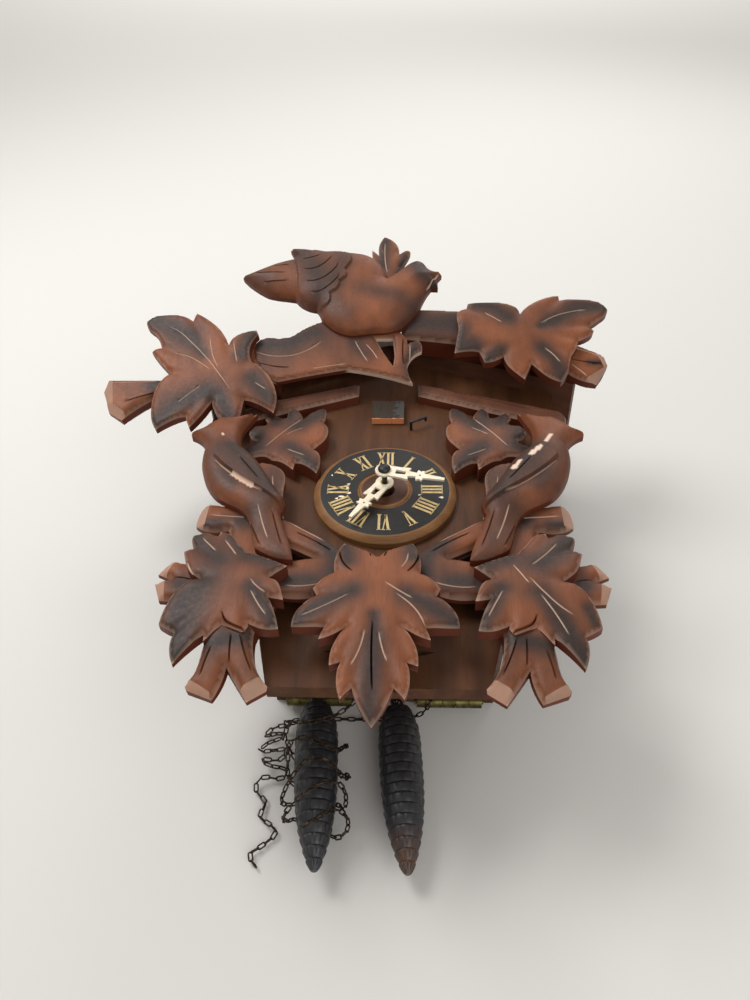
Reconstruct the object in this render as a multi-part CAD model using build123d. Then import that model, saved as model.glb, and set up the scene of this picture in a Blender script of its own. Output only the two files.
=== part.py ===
from build123d import *
import math
import os

# A carved cuckoo clock, lying on its back, in millimetres.
# X is to the right of the dial, Y is up towards XII, Z is out of the front, and the back plane is Z = 0.
# The origin is on the axis of the hands, in the back plane.

# Case
CASE_DEPTH = 85.0
PANEL_THICK = 8.0
PANEL_BOTTOM = -127.0
PANEL_BOTTOM_HALF = 51.0
SIDE_SLOPE = 0.245
SIDE_THICK = 8.0
SIDE_INSET = 2.0
BOX_BOTTOM = -78.0
BOTTOM_BOARD_THICK = 6.0
ROOF_PITCH = 22.0
ROOF_THICK = 8.0
ROOF_HALF = 120.0
ROOF_OVERHANG = 12.0
RIDGE_UNDER = 140.0
BACK_THICK = 6.0
RAIL_BOTTOM = 62.0
HANG_HOLE_Y = 110.0
HANG_HOLE_R = 5.0
GAP = 0.4
BACK_DOOR_GAP = 1.2
HINGE_LEAF = 1.2
HINGE_LONG = 36.0
HINGE_X = 36.0
KNUCKLE_R = 3.4
KNUCKLES = 5
HINGE_PIN_R = 1.3
HINGE_Y = BOX_BOTTOM - HINGE_LEAF - KNUCKLE_R + 1.0
HINGE_Z = BACK_THICK + GAP / 2
BOARD_LEAF = 13.0
SOUND_SLOT_Y = -107.0
SOUND_SLOT_HALF = 26.0
SOUND_SLOT_HIGH = 3.5

# Dial and hands
DIAL_R = 40.0
DIAL_FACE_R = 36.4
DIAL_THICK = 6.0
DIAL_EDGE = 2.6
DIAL_BORE_R = 5.6
HOUR_HAND_LEVEL = 4.6
MINUTE_HAND_LEVEL = 13.4
HAND_THICK = 1.2
HOUR_HAND_LENGTH = 33.0
MINUTE_HAND_LENGTH = 33.5
HOUR_HAND_ANGLE = 212.5
MINUTE_HAND_ANGLE = 103.0
HUB_R = 5.0
HAND_HOLE_R = 0.7
NUT_R = 3.3
NUT_HIGH = 2.4
ARBOR_R = 1.5
RUN = 0.05
PIPE_R = 2.4

# Movement: plates, arbors and wheels
FRONT_PLATE_Z = 62.0
BACK_PLATE_Z = 30.0
PLATE_THICK = 1.5
PLATE_HALF = 38.0
PLATE_BOTTOM = -42.0
PLATE_TOP = 46.0
PILLAR_R = 2.5
STANDOFF_R = 4.0
SCREW_R = 1.5
SCREW_HEAD_R = 2.8
SCREW_HEAD = 2.0
SCREW_GRIP = 5.0
PIVOT_R = 0.8
THIN_ARBOR_R = 1.1
GEAR_MODULE = 0.6
MOTION_MODULE = 0.6
THIRD_MODULE = 0.5
GREAT_TEETH = 48
CENTRE_DRIVEN_TEETH = 36
CENTRE_TEETH = 60
PINION_LEAVES = 8
THIRD_TEETH = 56
ESCAPE_TEETH = 30
ESCAPE_R = 9.0
CANNON_TEETH = 12
MINUTE_WHEEL_TEETH = 36
MINUTE_PINION_TEETH = 10
HOUR_TEETH = 40
PIN_PINION_LEAVES = 12
PIN_WHEEL_TEETH = 48
FLY_LEAVES = 8
LOW_WHEEL_Z = 36.0
STRIKE_WHEEL_Z = 33.0
LOW_WHEEL_THICK = 2.5
CENTRE_WHEEL_Z = 56.0
THIRD_WHEEL_Z = 45.0
ESCAPE_WHEEL_Z = 40.0
WHEEL_THICK = 1.8
SPROCKET_Z = 43.0
SPROCKET_WIDE = 7.0
SPROCKET_R = 8.0
FLANGE_R = GEAR_MODULE * GREAT_TEETH / 2 - 1.4
FLANGE_THICK = 1.0
GREAT_ANGLE = -52.0
THIRD_ANGLE = 126.0
ESCAPE_ANGLE = 38.0
ANCHOR_RISE = 13.0
PIN_ANGLE = 124.0
FLY_ANGLE = 110.0
LEADER_R = 0.9
LEADER_BOTTOM = -82.0
LEADER_Z = BACK_PLATE_Z - 5.0
LEADER_SLOT = 12.0

# Gong, whistles and cuckoo
GONG_WIRE_R = 1.2
GONG_TURNS = 4
GONG_PITCH = 6.0
GONG_INNER_R = 8.0
GONG_END = 30.0
GONG_Z = 14.0
GONG_Y = 8.0
HAMMER_PIVOT = (-24.0, 33.0)
HAMMER_HEAD = (-35.6, -4.6)
HAMMER_HEAD_R = 3.2
WHISTLE_WIDE = 19.0
WHISTLE_DEEP = 26.0
WHISTLE_TALL = 74.0
WHISTLE_WALL = 2.5
WHISTLE_X = 62.5 - WHISTLE_WIDE / 2
WHISTLE_Z = 38.0
WHISTLE_SEAT = 12.0
WHISTLE_BOTTOM = -36.0
BELLOWS_FOLDED = 5.0
LID_THICK = 3.0
DOOR_HALF = 10.0
DOOR_BOTTOM = 67.5
DOOR_TOP = 86.4
DOOR_THICK = 4.0
DOOR_LAP = 1.2
LATCH = (14.5, 62.0)
LATCH_PIN_R = 0.9
LATCH_WIRE_R = 0.8
LATCH_DEEP = 3.0
CUCKOO_Y = 77.6
CUCKOO_Z = 50.0
PUSH_Y = 71.0
PUSH_R = 1.6
PUSH_BACK = 9.0

# Carvings
BRANCH_THICK = 15.0
STUB_BACK = 8.0
STUB_RISE = 7.0
LEAF_THICK = 10.0
UPPER_LEAF_THICK = 13.0
BIRD_THICK = 18.0
GABLE_BRANCH_THICK = 8.0
CROWN_LEAN = 20.0
CROWN_Y = 93.7
CROWN_FRONT = 23.6
CROWN_THICK = 9.0
CROWN_LOG_THICK = 20.0
CROWN_STUB_THICK = 10.0
CROWN_LEAF_THICK = 9.0
CENTRE_LEAF_SHIFT = -1.3
LOWER_LEAF_CENTRE = (64, -81)
LEAF_DOME_R = 170.0

# Weights and chains
WEIGHT_LENGTH = 88.0
WEIGHT_R = 12.3
WEIGHT_WIDEST = 65.0
WEIGHT_RIDGES = 17
WEIGHT_TILT = 4.0
WEIGHT_RIGHT = (13.8, -179.0, 12.6)
WEIGHT_LEFT = (-29.5, -180.0, 16.1)
CHAIN_R = 1.4
CHAIN_LINE_R = SPROCKET_R + CHAIN_R + GAP
CHAIN_Z = SPROCKET_Z + SPROCKET_WIDE / 2
CHAIN_SLOT = 3.6
FLOOR_Z = CHAIN_R + 0.4
OUTSIDE = BOX_BOTTOM - 9.0
HOOK_R = 1.1
HOOK_STEM = 2.0
HOOK_LOOP_R = 2.6
WINDING_TURNS = 4
WINDING_PITCH = 13.0
WINDING_TOP = 70.0
WINDING_CLEAR = 0.5
WINDING_LEAD = 3.0

FRONT = CASE_DEPTH
PANEL_BACK = FRONT - PANEL_THICK
SLOPE = math.tan(math.radians(ROOF_PITCH))
nodes = {}


def block(x0, x1, y0, y1, z0, z1):
    """A box between two corners."""
    return Pos((x0 + x1) / 2, (y0 + y1) / 2, (z0 + z1) / 2) * Box(abs(x1 - x0), abs(y1 - y0), abs(z1 - z0))


def rod(x, y, z0, z1, radius):
    """A round bar along Z."""
    return Pos(x, y, (z0 + z1) / 2) * Cylinder(radius, z1 - z0)


def prism(points, z0, z1):
    """A straight-sided outline in the XY plane, raised from z0 to z1."""
    return Pos(0, 0, z0) * extrude(make_face(Polyline(*points, close=True)), z1 - z0)


def round_prism(edges, z0, z1):
    """An outline made of joined edges, raised from z0 to z1."""
    return Pos(0, 0, z0) * extrude(make_face(edges), z1 - z0)


def mirrored(solid):
    """The same piece on the other side of the clock."""
    return mirror(solid, about=Plane.YZ)


def roof_under(x):
    """Height of the roof's underside at x."""
    return RIDGE_UNDER - SLOPE * abs(x)


def side_edge(y):
    """Half-width of the front panel at y."""
    return PANEL_BOTTOM_HALF + SIDE_SLOPE * (y - PANEL_BOTTOM)


def shoulder(inset):
    """Where a line parallel to the panel's side, moved in by inset, meets the roof's underside."""
    x = (PANEL_BOTTOM_HALF + SIDE_SLOPE * (RIDGE_UNDER - PANEL_BOTTOM) - inset) / (1 + SIDE_SLOPE * SLOPE)
    return x, roof_under(x)


def polar(radius, angle):
    """A point at a radius and an angle in degrees."""
    return radius * math.cos(math.radians(angle)), radius * math.sin(math.radians(angle))


# Case


def front_panel():
    x, y = shoulder(0)
    b = PANEL_BOTTOM_HALF
    points = [(-b, PANEL_BOTTOM), (b, PANEL_BOTTOM), (x, y), (0, RIDGE_UNDER), (-x, y)]
    panel = prism(points, PANEL_BACK, FRONT)
    panel -= block(-DOOR_HALF + DOOR_LAP, DOOR_HALF - DOOR_LAP, DOOR_BOTTOM + DOOR_LAP, DOOR_TOP - DOOR_LAP,
                   PANEL_BACK - 1, FRONT + 1)
    panel -= rod(0, 0, PANEL_BACK - 1, FRONT + 1, DIAL_BORE_R)
    half, high = SOUND_SLOT_HALF, SOUND_SLOT_HIGH / 2
    slot = [(-half, SOUND_SLOT_Y), (-half + 6, SOUND_SLOT_Y - high), (half - 6, SOUND_SLOT_Y - high),
            (half, SOUND_SLOT_Y), (half - 6, SOUND_SLOT_Y + high), (-half + 6, SOUND_SLOT_Y + high)]
    panel -= prism(slot, PANEL_BACK - 1, FRONT + 1)
    panel -= rod(*LATCH, FRONT - LATCH_DEEP - GAP, FRONT + 1, LATCH_PIN_R + RUN)
    for x, y in standoff_places():
        panel -= rod(x, y, PANEL_BACK - 1, PANEL_BACK + SCREW_GRIP, SCREW_R)
    return panel


def side_panel():
    """The right-hand side, its top cut to the roof's slope."""
    outer, inner = SIDE_INSET, SIDE_INSET + SIDE_THICK
    points = [(side_edge(BOX_BOTTOM) - inner, BOX_BOTTOM), (side_edge(BOX_BOTTOM) - outer, BOX_BOTTOM),
              shoulder(outer), shoulder(inner)]
    return prism(points, 0, PANEL_BACK)


def inner_half(y):
    """Half-width of the space between the side panels at y."""
    return side_edge(y) - SIDE_INSET - SIDE_THICK


def bottom_board():
    low, high = BOX_BOTTOM, BOX_BOTTOM + BOTTOM_BOARD_THICK
    foot, head = inner_half(low), inner_half(high)
    board = prism([(-foot, low), (foot, low), (head, high), (-head, high)], BACK_THICK + GAP, PANEL_BACK)
    slot = CHAIN_SLOT
    for middle in (-great_x(), great_x()):
        for x in (middle - CHAIN_LINE_R, middle + CHAIN_LINE_R):
            board -= block(x - slot, x + slot, low - 1, high + 1, CHAIN_Z - slot, CHAIN_Z + slot)
    return board - block(-LEADER_SLOT, LEADER_SLOT, low - 1, high + 1, LEADER_Z - 4, LEADER_Z + 4)


def roof_board():
    """The right-hand roof board, mitred at the ridge and square at the eave."""
    rise = ROOF_THICK / math.cos(math.radians(ROOF_PITCH))
    lean = ROOF_THICK * math.sin(math.radians(ROOF_PITCH))
    up = ROOF_THICK * math.cos(math.radians(ROOF_PITCH))
    eave = roof_under(ROOF_HALF - lean)
    points = [(0, RIDGE_UNDER), (ROOF_HALF - lean, eave), (ROOF_HALF, eave + up), (0, RIDGE_UNDER + rise)]
    return prism(points, 0, FRONT + ROOF_OVERHANG)


def back_rail():
    inner = SIDE_INSET + SIDE_THICK
    x, y = shoulder(inner)
    points = [(-inner_half(RAIL_BOTTOM), RAIL_BOTTOM), (inner_half(RAIL_BOTTOM), RAIL_BOTTOM), (x, y),
              (0, RIDGE_UNDER), (-x, y)]
    rail = prism(points, 0, BACK_THICK)
    return rail - rod(0, HANG_HOLE_Y, -1, BACK_THICK + 1, HANG_HOLE_R)


def back_door():
    low, high = BOX_BOTTOM, RAIL_BOTTOM - GAP
    foot, head = inner_half(low) - BACK_DOOR_GAP, inner_half(high) - BACK_DOOR_GAP
    return prism([(-foot, low), (foot, low), (head, high), (-head, high)], 0, BACK_THICK)


# Hinges of the back door: leaves under the door's edge and the bottom board, knuckles on one pin


def along_x(x0, x1, y, z, radius):
    """A round bar along X."""
    return Pos((x0 + x1) / 2, y, z) * Rot(0, 90, 0) * Cylinder(radius, x1 - x0)


def hinge_half(x, first, z0, z1):
    """One half of a butt hinge: a leaf and every second knuckle."""
    step = HINGE_LONG / KNUCKLES
    start = x - HINGE_LONG / 2
    half = block(start, start + HINGE_LONG, BOX_BOTTOM - HINGE_LEAF, BOX_BOTTOM, z0, z1)
    for i in range(KNUCKLES):
        low, high = start + i * step + 0.15, start + (i + 1) * step - 0.15
        if i % 2 == first:
            half += along_x(low, high, HINGE_Y, HINGE_Z, KNUCKLE_R)
        else:
            half -= along_x(low - 0.3, high + 0.3, HINGE_Y, HINGE_Z, KNUCKLE_R + GAP)
    return half - along_x(start - 1, start + HINGE_LONG + 1, HINGE_Y, HINGE_Z, HINGE_PIN_R + RUN)


def hinge_pins():
    long = HINGE_LONG / 2 + 0.8
    return [along_x(x - long, x + long, HINGE_Y, HINGE_Z, HINGE_PIN_R) for x in (-HINGE_X, HINGE_X)]


# Dial and hands


def dial():
    edge, face = FRONT + DIAL_EDGE, FRONT + DIAL_THICK
    profile = [(DIAL_BORE_R, FRONT), (DIAL_R, FRONT), (DIAL_R, edge), (DIAL_FACE_R, face),
               (DIAL_BORE_R, face)]
    return revolve(make_face(Polyline(*[(r, 0, z) for r, z in profile], close=True)), Axis.Z)


def hand(length, bore, level, angle):
    """A pressed hand: a hub ring, a pierced frame with two barbs, a pierced cross and a narrow point."""
    side = [(4.0, 3.0), (4.2, 9.0), (4.7, 14.2), (2.0, 13.4), (1.5, 17.8), (4.0, 18.4), (3.0, 20.0),
            (4.0, 21.6), (1.8, 22.0), (0.9, length)]
    frame = make_face(Polyline(*side, *[(-x, y) for x, y in reversed(side)], close=True))
    opening = make_face(Polyline((1.8, 6.4), (1.2, 12.0), (-1.2, 12.0), (-1.8, 6.4), close=True))
    shape = frame - opening - Pos(0, 20) * Circle(HAND_HOLE_R) + Circle(HUB_R) - Circle(bore)
    return Rot(0, 0, -angle) * Pos(0, 0, FRONT + DIAL_THICK + level) * extrude(shape, HAND_THICK)


def hand_nut():
    z = FRONT + DIAL_THICK + MINUTE_HAND_LEVEL + HAND_THICK
    return rod(0, 0, z, z + NUT_HIGH, NUT_R) - rod(0, 0, z - 1, z + NUT_HIGH + 1, ARBOR_R)


# Wheels


def toothed(teeth, module, x, y, z0, z1, turn, spokes=0):
    """A spur wheel with plain narrow teeth, the rim crossed out into spokes on larger wheels."""
    pitch_r = teeth * module / 2
    root, tip = pitch_r - 1.15 * module, pitch_r + 0.8 * module
    step = 360.0 / teeth
    points = []
    for i in range(teeth):
        a = turn + i * step
        points += [polar(root, a - 0.25 * step), polar(tip, a - 0.09 * step), polar(tip, a + 0.09 * step),
                   polar(root, a + 0.25 * step)]
    wheel = prism(points, z0, z1)
    if spokes:
        ring = rod(0, 0, z0 - 1, z1 + 1, root - 1.6) - rod(0, 0, z0 - 1, z1 + 1, 4.0)
        for i in range(spokes):
            ring -= Rot(0, 0, turn + i * 360.0 / spokes) * block(0, root, -1.1, 1.1, z0 - 1, z1 + 1)
        wheel -= ring
    return Pos(x, y, 0) * wheel


def mesh_turn(teeth, own_teeth, own_turn, direction):
    """The turn that sets a gap of one wheel against a tooth of another, along a direction in degrees."""
    phase = (direction - own_turn) / (360.0 / own_teeth)
    return direction + 180 + (phase + 0.5) * 360.0 / teeth


def centre_distance(a, b, module):
    return (a + b) * module / 2


GREAT_DISTANCE = centre_distance(GREAT_TEETH, CENTRE_DRIVEN_TEETH, GEAR_MODULE)
THIRD_DISTANCE = centre_distance(CENTRE_TEETH, PINION_LEAVES, GEAR_MODULE)
ESCAPE_DISTANCE = centre_distance(THIRD_TEETH, PINION_LEAVES, THIRD_MODULE)
PIN_DISTANCE = centre_distance(GREAT_TEETH, PIN_PINION_LEAVES, GEAR_MODULE)
FLY_DISTANCE = centre_distance(PIN_WHEEL_TEETH, FLY_LEAVES, THIRD_MODULE)


def great_place():
    return polar(GREAT_DISTANCE, GREAT_ANGLE)


def great_x():
    return great_place()[0]


def third_place():
    return polar(THIRD_DISTANCE, THIRD_ANGLE)


def escape_place():
    x, y = third_place()
    dx, dy = polar(ESCAPE_DISTANCE, ESCAPE_ANGLE)
    return x + dx, y + dy


def anchor_place():
    x, y = escape_place()
    return x, y + ANCHOR_RISE


def strike_place():
    x, y = great_place()
    return -x, y


def pin_place():
    x, y = strike_place()
    dx, dy = polar(PIN_DISTANCE, PIN_ANGLE)
    return x + dx, y + dy


def fly_place():
    x, y = pin_place()
    dx, dy = polar(FLY_DISTANCE, FLY_ANGLE)
    return x + dx, y + dy


def minute_wheel_place():
    return polar(centre_distance(CANNON_TEETH, MINUTE_WHEEL_TEETH, MOTION_MODULE), 150.0)


def arbors():
    """Every arbor that pivots in both plates."""
    return [great_place(), strike_place(), third_place(), escape_place(), anchor_place(), pin_place(),
            fly_place()]


def plate(z):
    points = [(-PLATE_HALF, PLATE_BOTTOM), (PLATE_HALF, PLATE_BOTTOM), (PLATE_HALF, PLATE_TOP),
              (-PLATE_HALF, PLATE_TOP)]
    sheet = prism(points, z, z + PLATE_THICK)
    for x, y in arbors():
        sheet -= rod(x, y, z - 1, z + PLATE_THICK + 1, PIVOT_R + RUN)
    return sheet - rod(0, 0, z - 1, z + PLATE_THICK + 1, ARBOR_R + RUN)


def front_plate():
    """The front plate, with the screws' holes and the stud of the minute wheel."""
    z = FRONT_PLATE_Z
    sheet = plate(z)
    for x, y in standoff_places():
        sheet -= rod(x, y, z - 1, z + PLATE_THICK + 1, SCREW_R)
    x, y = minute_wheel_place()
    top = z + PLATE_THICK
    return sheet + rod(x, y, top, top + 8, ARBOR_R) + rod(x, y, top, top + 0.7, 2.6)


def back_plate():
    z = BACK_PLATE_Z
    return plate(z) - rod(*HAMMER_PIVOT, z - 1, z + PLATE_THICK + 1, PIVOT_R + RUN)


def corner_places():
    x, low, high = PLATE_HALF - 5, PLATE_BOTTOM + 4, PLATE_TOP - 5
    return [(-x, low), (x, low), (-x, high), (x, high)]


def pillars():
    return [rod(x, y, BACK_PLATE_Z + PLATE_THICK, FRONT_PLATE_Z, PILLAR_R) for x, y in corner_places()]


def standoff_places():
    x = PLATE_HALF - 5
    return [(-x, -28), (x, -28), (-x, 14), (x, 14)]


def standoffs():
    low, high = FRONT_PLATE_Z + PLATE_THICK, PANEL_BACK
    return [rod(x, y, low, high, STANDOFF_R) - rod(x, y, low - 1, high + 1, SCREW_R)
            for x, y in standoff_places()]


def screws():
    """The screws that hold the movement to the front panel."""
    low, high = FRONT_PLATE_Z, PANEL_BACK + SCREW_GRIP
    return [rod(x, y, low, high, SCREW_R) + rod(x, y, low - SCREW_HEAD, low, SCREW_HEAD_R)
            for x, y in standoff_places()]


def arbor(x, y, extra=0.0):
    """An arbor with a pivot at each end, running in both plates."""
    low, high = BACK_PLATE_Z + PLATE_THICK, FRONT_PLATE_Z
    bar = rod(x, y, low + GAP, high - GAP, THIN_ARBOR_R)
    return bar + rod(x, y, BACK_PLATE_Z - extra, FRONT_PLATE_Z + PLATE_THICK, PIVOT_R)


def chain_wheel(place, low):
    """A great wheel with the chain sprocket beside it, on one arbor."""
    x, y = place
    wheel = toothed(GREAT_TEETH, GEAR_MODULE, x, y, low, low + LOW_WHEEL_THICK, 0, 5)
    wheel += rod(x, y, low + LOW_WHEEL_THICK, SPROCKET_Z + SPROCKET_WIDE, SPROCKET_R)
    for z in (SPROCKET_Z - FLANGE_THICK, SPROCKET_Z + SPROCKET_WIDE):
        wheel += rod(x, y, z, z + FLANGE_THICK, FLANGE_R)
    return wheel + arbor(x, y)


def centre_arbor():
    top = FRONT + DIAL_THICK + MINUTE_HAND_LEVEL + HAND_THICK + NUT_HIGH
    bar = rod(0, 0, BACK_PLATE_Z - 1.5, top, ARBOR_R)
    low = LOW_WHEEL_Z
    turn = mesh_turn(CENTRE_DRIVEN_TEETH, GREAT_TEETH, 0, GREAT_ANGLE + 180)
    bar += toothed(CENTRE_DRIVEN_TEETH, GEAR_MODULE, 0, 0, low, low + LOW_WHEEL_THICK, turn, 4)
    z = CENTRE_WHEEL_Z
    bar += toothed(CENTRE_TEETH, GEAR_MODULE, 0, 0, z, z + WHEEL_THICK, 0, 5)
    z = FRONT_PLATE_Z + PLATE_THICK + 1
    return bar + toothed(CANNON_TEETH, MOTION_MODULE, 0, 0, z, z + 3, 0)


def third_wheel():
    x, y = third_place()
    z = CENTRE_WHEEL_Z
    turn = mesh_turn(PINION_LEAVES, CENTRE_TEETH, 0, THIRD_ANGLE)
    wheel = toothed(PINION_LEAVES, GEAR_MODULE, x, y, z - 1, z + WHEEL_THICK + 1, turn)
    z = THIRD_WHEEL_Z
    return wheel + toothed(THIRD_TEETH, THIRD_MODULE, x, y, z, z + WHEEL_THICK, 0, 5) + arbor(x, y)


def escape_wheel():
    """Thirty pointed teeth, raked the way the wheel turns, and the pinion that drives it."""
    x, y = escape_place()
    z = ESCAPE_WHEEL_Z
    step = 360.0 / ESCAPE_TEETH
    points = []
    for i in range(ESCAPE_TEETH):
        points += [polar(ESCAPE_R - 1.8, i * step), polar(ESCAPE_R, (i + 0.55) * step)]
    ring = prism(points, z, z + 1)
    cut = rod(0, 0, z - 1, z + 2, ESCAPE_R - 3) - rod(0, 0, z - 1, z + 2, 2.6)
    for i in range(4):
        cut -= Rot(0, 0, 90 * i) * block(0, ESCAPE_R, -0.8, 0.8, z - 1, z + 2)
    turn = mesh_turn(PINION_LEAVES, THIRD_TEETH, 0, ESCAPE_ANGLE)
    low = THIRD_WHEEL_Z
    pinion = toothed(PINION_LEAVES, THIRD_MODULE, x, y, low - 1, low + WHEEL_THICK + 1, turn)
    return Pos(x, y, 0) * (ring - cut) + pinion + arbor(x, y)


def anchor():
    """The anchor's two arms over the escape wheel, on an arbor that runs out of the back plate."""
    x, y = anchor_place()
    z = ESCAPE_WHEEL_Z
    clear = ESCAPE_R + 0.5
    arms = prism([(-9.5, -6), (-10.8, -7.4), (-11.2, -3), (-2, 2.6), (2, 2.6), (11.2, -3), (10.8, -7.4),
                  (9.5, -6), (2, -2.2), (-2, -2.2)], z - 0.5, z + 1.5)
    arms -= rod(0, -ANCHOR_RISE, z - 2, z + 4, clear)
    return Pos(x, y, 0) * arms + arbor(x, y, BACK_PLATE_Z - LEADER_Z + 1)


def leader():
    """The pendulum leader: a wire from the anchor's arbor through the bottom board, with a hook."""
    x, y = anchor_place()
    hook = 3.0
    low = LEADER_BOTTOM + hook
    head = rod(x, y, LEADER_Z - 1.5, LEADER_Z + 1.5, 3.0) - rod(x, y, LEADER_Z - 3, LEADER_Z + 3, PIVOT_R)
    path = Line((x, y - 2.5, LEADER_Z), (x, low, LEADER_Z)) + ThreePointArc(
        (x, low, LEADER_Z), (x - hook, low - hook, LEADER_Z), (x - 2 * hook, low, LEADER_Z))
    wire = sweep(Plane((x, y - 2.5, LEADER_Z), x_dir=(1, 0, 0), z_dir=(0, -1, 0)) * Circle(LEADER_R), path)
    return head + wire


def minute_wheel():
    """The motion work's wheel on its stud, between the cannon pinion and the hour wheel."""
    x, y = minute_wheel_place()
    z = FRONT_PLATE_Z + PLATE_THICK + 1
    turn = mesh_turn(MINUTE_WHEEL_TEETH, CANNON_TEETH, 0, 150.0)
    wheel = toothed(MINUTE_WHEEL_TEETH, MOTION_MODULE, x, y, z, z + 2, turn)
    distance = math.hypot(x, y)
    module = 2 * distance / (MINUTE_PINION_TEETH + HOUR_TEETH)
    wheel += toothed(MINUTE_PINION_TEETH, module, x, y, z + 2, z + 6, 0)
    return wheel - rod(x, y, z - 2, z + 8, ARBOR_R + RUN)


def hour_wheel():
    """The hour wheel and its pipe, running on the centre arbor."""
    x, y = minute_wheel_place()
    module = 2 * math.hypot(x, y) / (MINUTE_PINION_TEETH + HOUR_TEETH)
    z = FRONT_PLATE_Z + PLATE_THICK + 4.5
    turn = mesh_turn(HOUR_TEETH, MINUTE_PINION_TEETH, 0, 150.0 + 180)
    wheel = toothed(HOUR_TEETH, module, 0, 0, z, z + 2, turn)
    wheel += rod(0, 0, z, FRONT + DIAL_THICK + HOUR_HAND_LEVEL + HAND_THICK, PIPE_R)
    return wheel - rod(0, 0, z - 2, 200, ARBOR_R + RUN)


def pin_wheel():
    """The strike's pin wheel: its pinion is driven by the strike chain wheel, its pins lift the levers."""
    x, y = pin_place()
    z = STRIKE_WHEEL_Z
    turn = mesh_turn(PIN_PINION_LEAVES, GREAT_TEETH, 0, PIN_ANGLE)
    wheel = toothed(PIN_PINION_LEAVES, GEAR_MODULE, x, y, z - 0.5, z + LOW_WHEEL_THICK + 0.5, turn)
    z = 52.0
    wheel += toothed(PIN_WHEEL_TEETH, THIRD_MODULE, x, y, z, z + WHEEL_THICK, 0)
    for i in range(8):
        dx, dy = polar(8.5, 45.0 * i)
        wheel += rod(x + dx, y + dy, z + WHEEL_THICK, z + 3.4, 0.7)
    return wheel + arbor(x, y)


def fly():
    """The fan that slows the strike, on the last pinion."""
    x, y = fly_place()
    z = 52.0
    turn = mesh_turn(FLY_LEAVES, PIN_WHEEL_TEETH, 0, FLY_ANGLE)
    pinion = toothed(FLY_LEAVES, THIRD_MODULE, x, y, z - 1, z + WHEEL_THICK + 1, turn)
    return pinion + arbor(x, y) + block(x - 7, x + 7, y - 0.5, y + 0.5, 34, 44)


# Gong and hammer


def arc_to(start, corner, end):
    """The arc from start to end that is tangent to both lines through corner."""
    a, q, b = Vector(*start), Vector(*corner), Vector(*end)
    middle = (a + b) * 0.5
    half = (b - a).length / 2
    rise = (q - middle).length
    bow = half * math.tan(math.atan2(rise, half) / 2)
    return ThreePointArc(a, middle + (q - middle).normalized() * bow, b)


def gong():
    """A flat spiral of wire in half turns, its outer end straight into the block on the back door."""
    edges = []
    radius = GONG_INNER_R
    x = -radius
    for i in range(2 * GONG_TURNS):
        side = 1 if i % 2 == 0 else -1
        grown = radius + GONG_PITCH / 2
        bow = (radius + grown) / 2
        start, far = (x, GONG_Y, GONG_Z), (x + 2 * side * bow, GONG_Y, GONG_Z)
        edges.append(ThreePointArc(start, (x + side * bow, GONG_Y + side * bow, GONG_Z), far))
        x, radius = far[0], grown
    top = GONG_Y + GONG_END
    edges.append(Line((x, GONG_Y, GONG_Z), (x, top, GONG_Z)))
    first = Plane((-GONG_INNER_R, GONG_Y, GONG_Z), x_dir=(1, 0, 0), z_dir=(0, 1, 0))
    wire = sweep(first * Circle(GONG_WIRE_R), Wire(edges))
    holder = block(x - 7, x + 7, top, top + 12, BACK_THICK, GONG_Z + 5)
    print("gong least gap to itself", round(GONG_PITCH - 2 * GONG_WIRE_R, 2))
    return [wire, holder]


def gong_hammer():
    """A hammer on a wire, on its own arbor in the back plate, resting beside the gong's outer turn."""
    x, y = HAMMER_PIVOT
    z = BACK_PLATE_Z - 4
    wire = wire_between(HAMMER_PIVOT, HAMMER_HEAD, z, 0.8)
    head = rod(*HAMMER_HEAD, GONG_Z - 3, z + 2, HAMMER_HEAD_R)
    hub = rod(x, y, z - 2, z + 2, 2.6)
    return wire + head + hub + rod(x, y, z - 2, BACK_PLATE_Z + PLATE_THICK, PIVOT_R)


def wire_between(start, end, z, radius):
    """A round wire between two points of one level."""
    a, b = Vector(start[0], start[1], z), Vector(end[0], end[1], z)
    return extrude(Plane(a, z_dir=(b - a)) * Circle(radius), (b - a).length)


# Whistles with bellows


def whistle_sides():
    return WHISTLE_X - WHISTLE_WIDE / 2, WHISTLE_X + WHISTLE_WIDE / 2


def whistle_box():
    """The right-hand whistle: a tube with a mouth near its top, seated on the side panel."""
    x0, x1 = whistle_sides()
    z0, z1 = WHISTLE_Z, WHISTLE_Z + WHISTLE_DEEP
    y0, y1 = WHISTLE_BOTTOM, WHISTLE_BOTTOM + WHISTLE_TALL
    w = WHISTLE_WALL
    tube = block(x0, x1, y0, y1, z0, z1) - block(x0 + w, x1 - w, y0 - 1, y1 - w, z0 + w, z1 - w)
    tube -= block(x0 + w, x1 - w, y1 - 16, y1 - 11, z1 - w - 1, z1 + 1)
    high = y0 + WHISTLE_SEAT
    seat = [(x1 - 1, y0), (inner_half(y0), y0), (inner_half(high), high), (x1 - 1, high)]
    return tube + prism(seat, z0, z1)


def bellows_lid():
    x0, x1 = whistle_sides()
    y0 = WHISTLE_BOTTOM + WHISTLE_TALL + BELLOWS_FOLDED + GAP
    return block(x0, x1, y0, y0 + LID_THICK, WHISTLE_Z, WHISTLE_Z + WHISTLE_DEEP)


def bellows_cloth():
    """The folded cloth between a whistle and its lid, with two pleats drawn in."""
    x0, x1 = whistle_sides()
    low = WHISTLE_BOTTOM + WHISTLE_TALL
    step = BELLOWS_FOLDED / 4
    right = [(x1 - 1 - 2.2 * (i % 2), low + i * step) for i in range(5)]
    left = [(x0 + 1 + 2.2 * (i % 2), low + i * step) for i in reversed(range(5))]
    return prism(right + left, WHISTLE_Z + 1, WHISTLE_Z + WHISTLE_DEEP - 1)


# Cuckoo, its guide and its door


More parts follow.
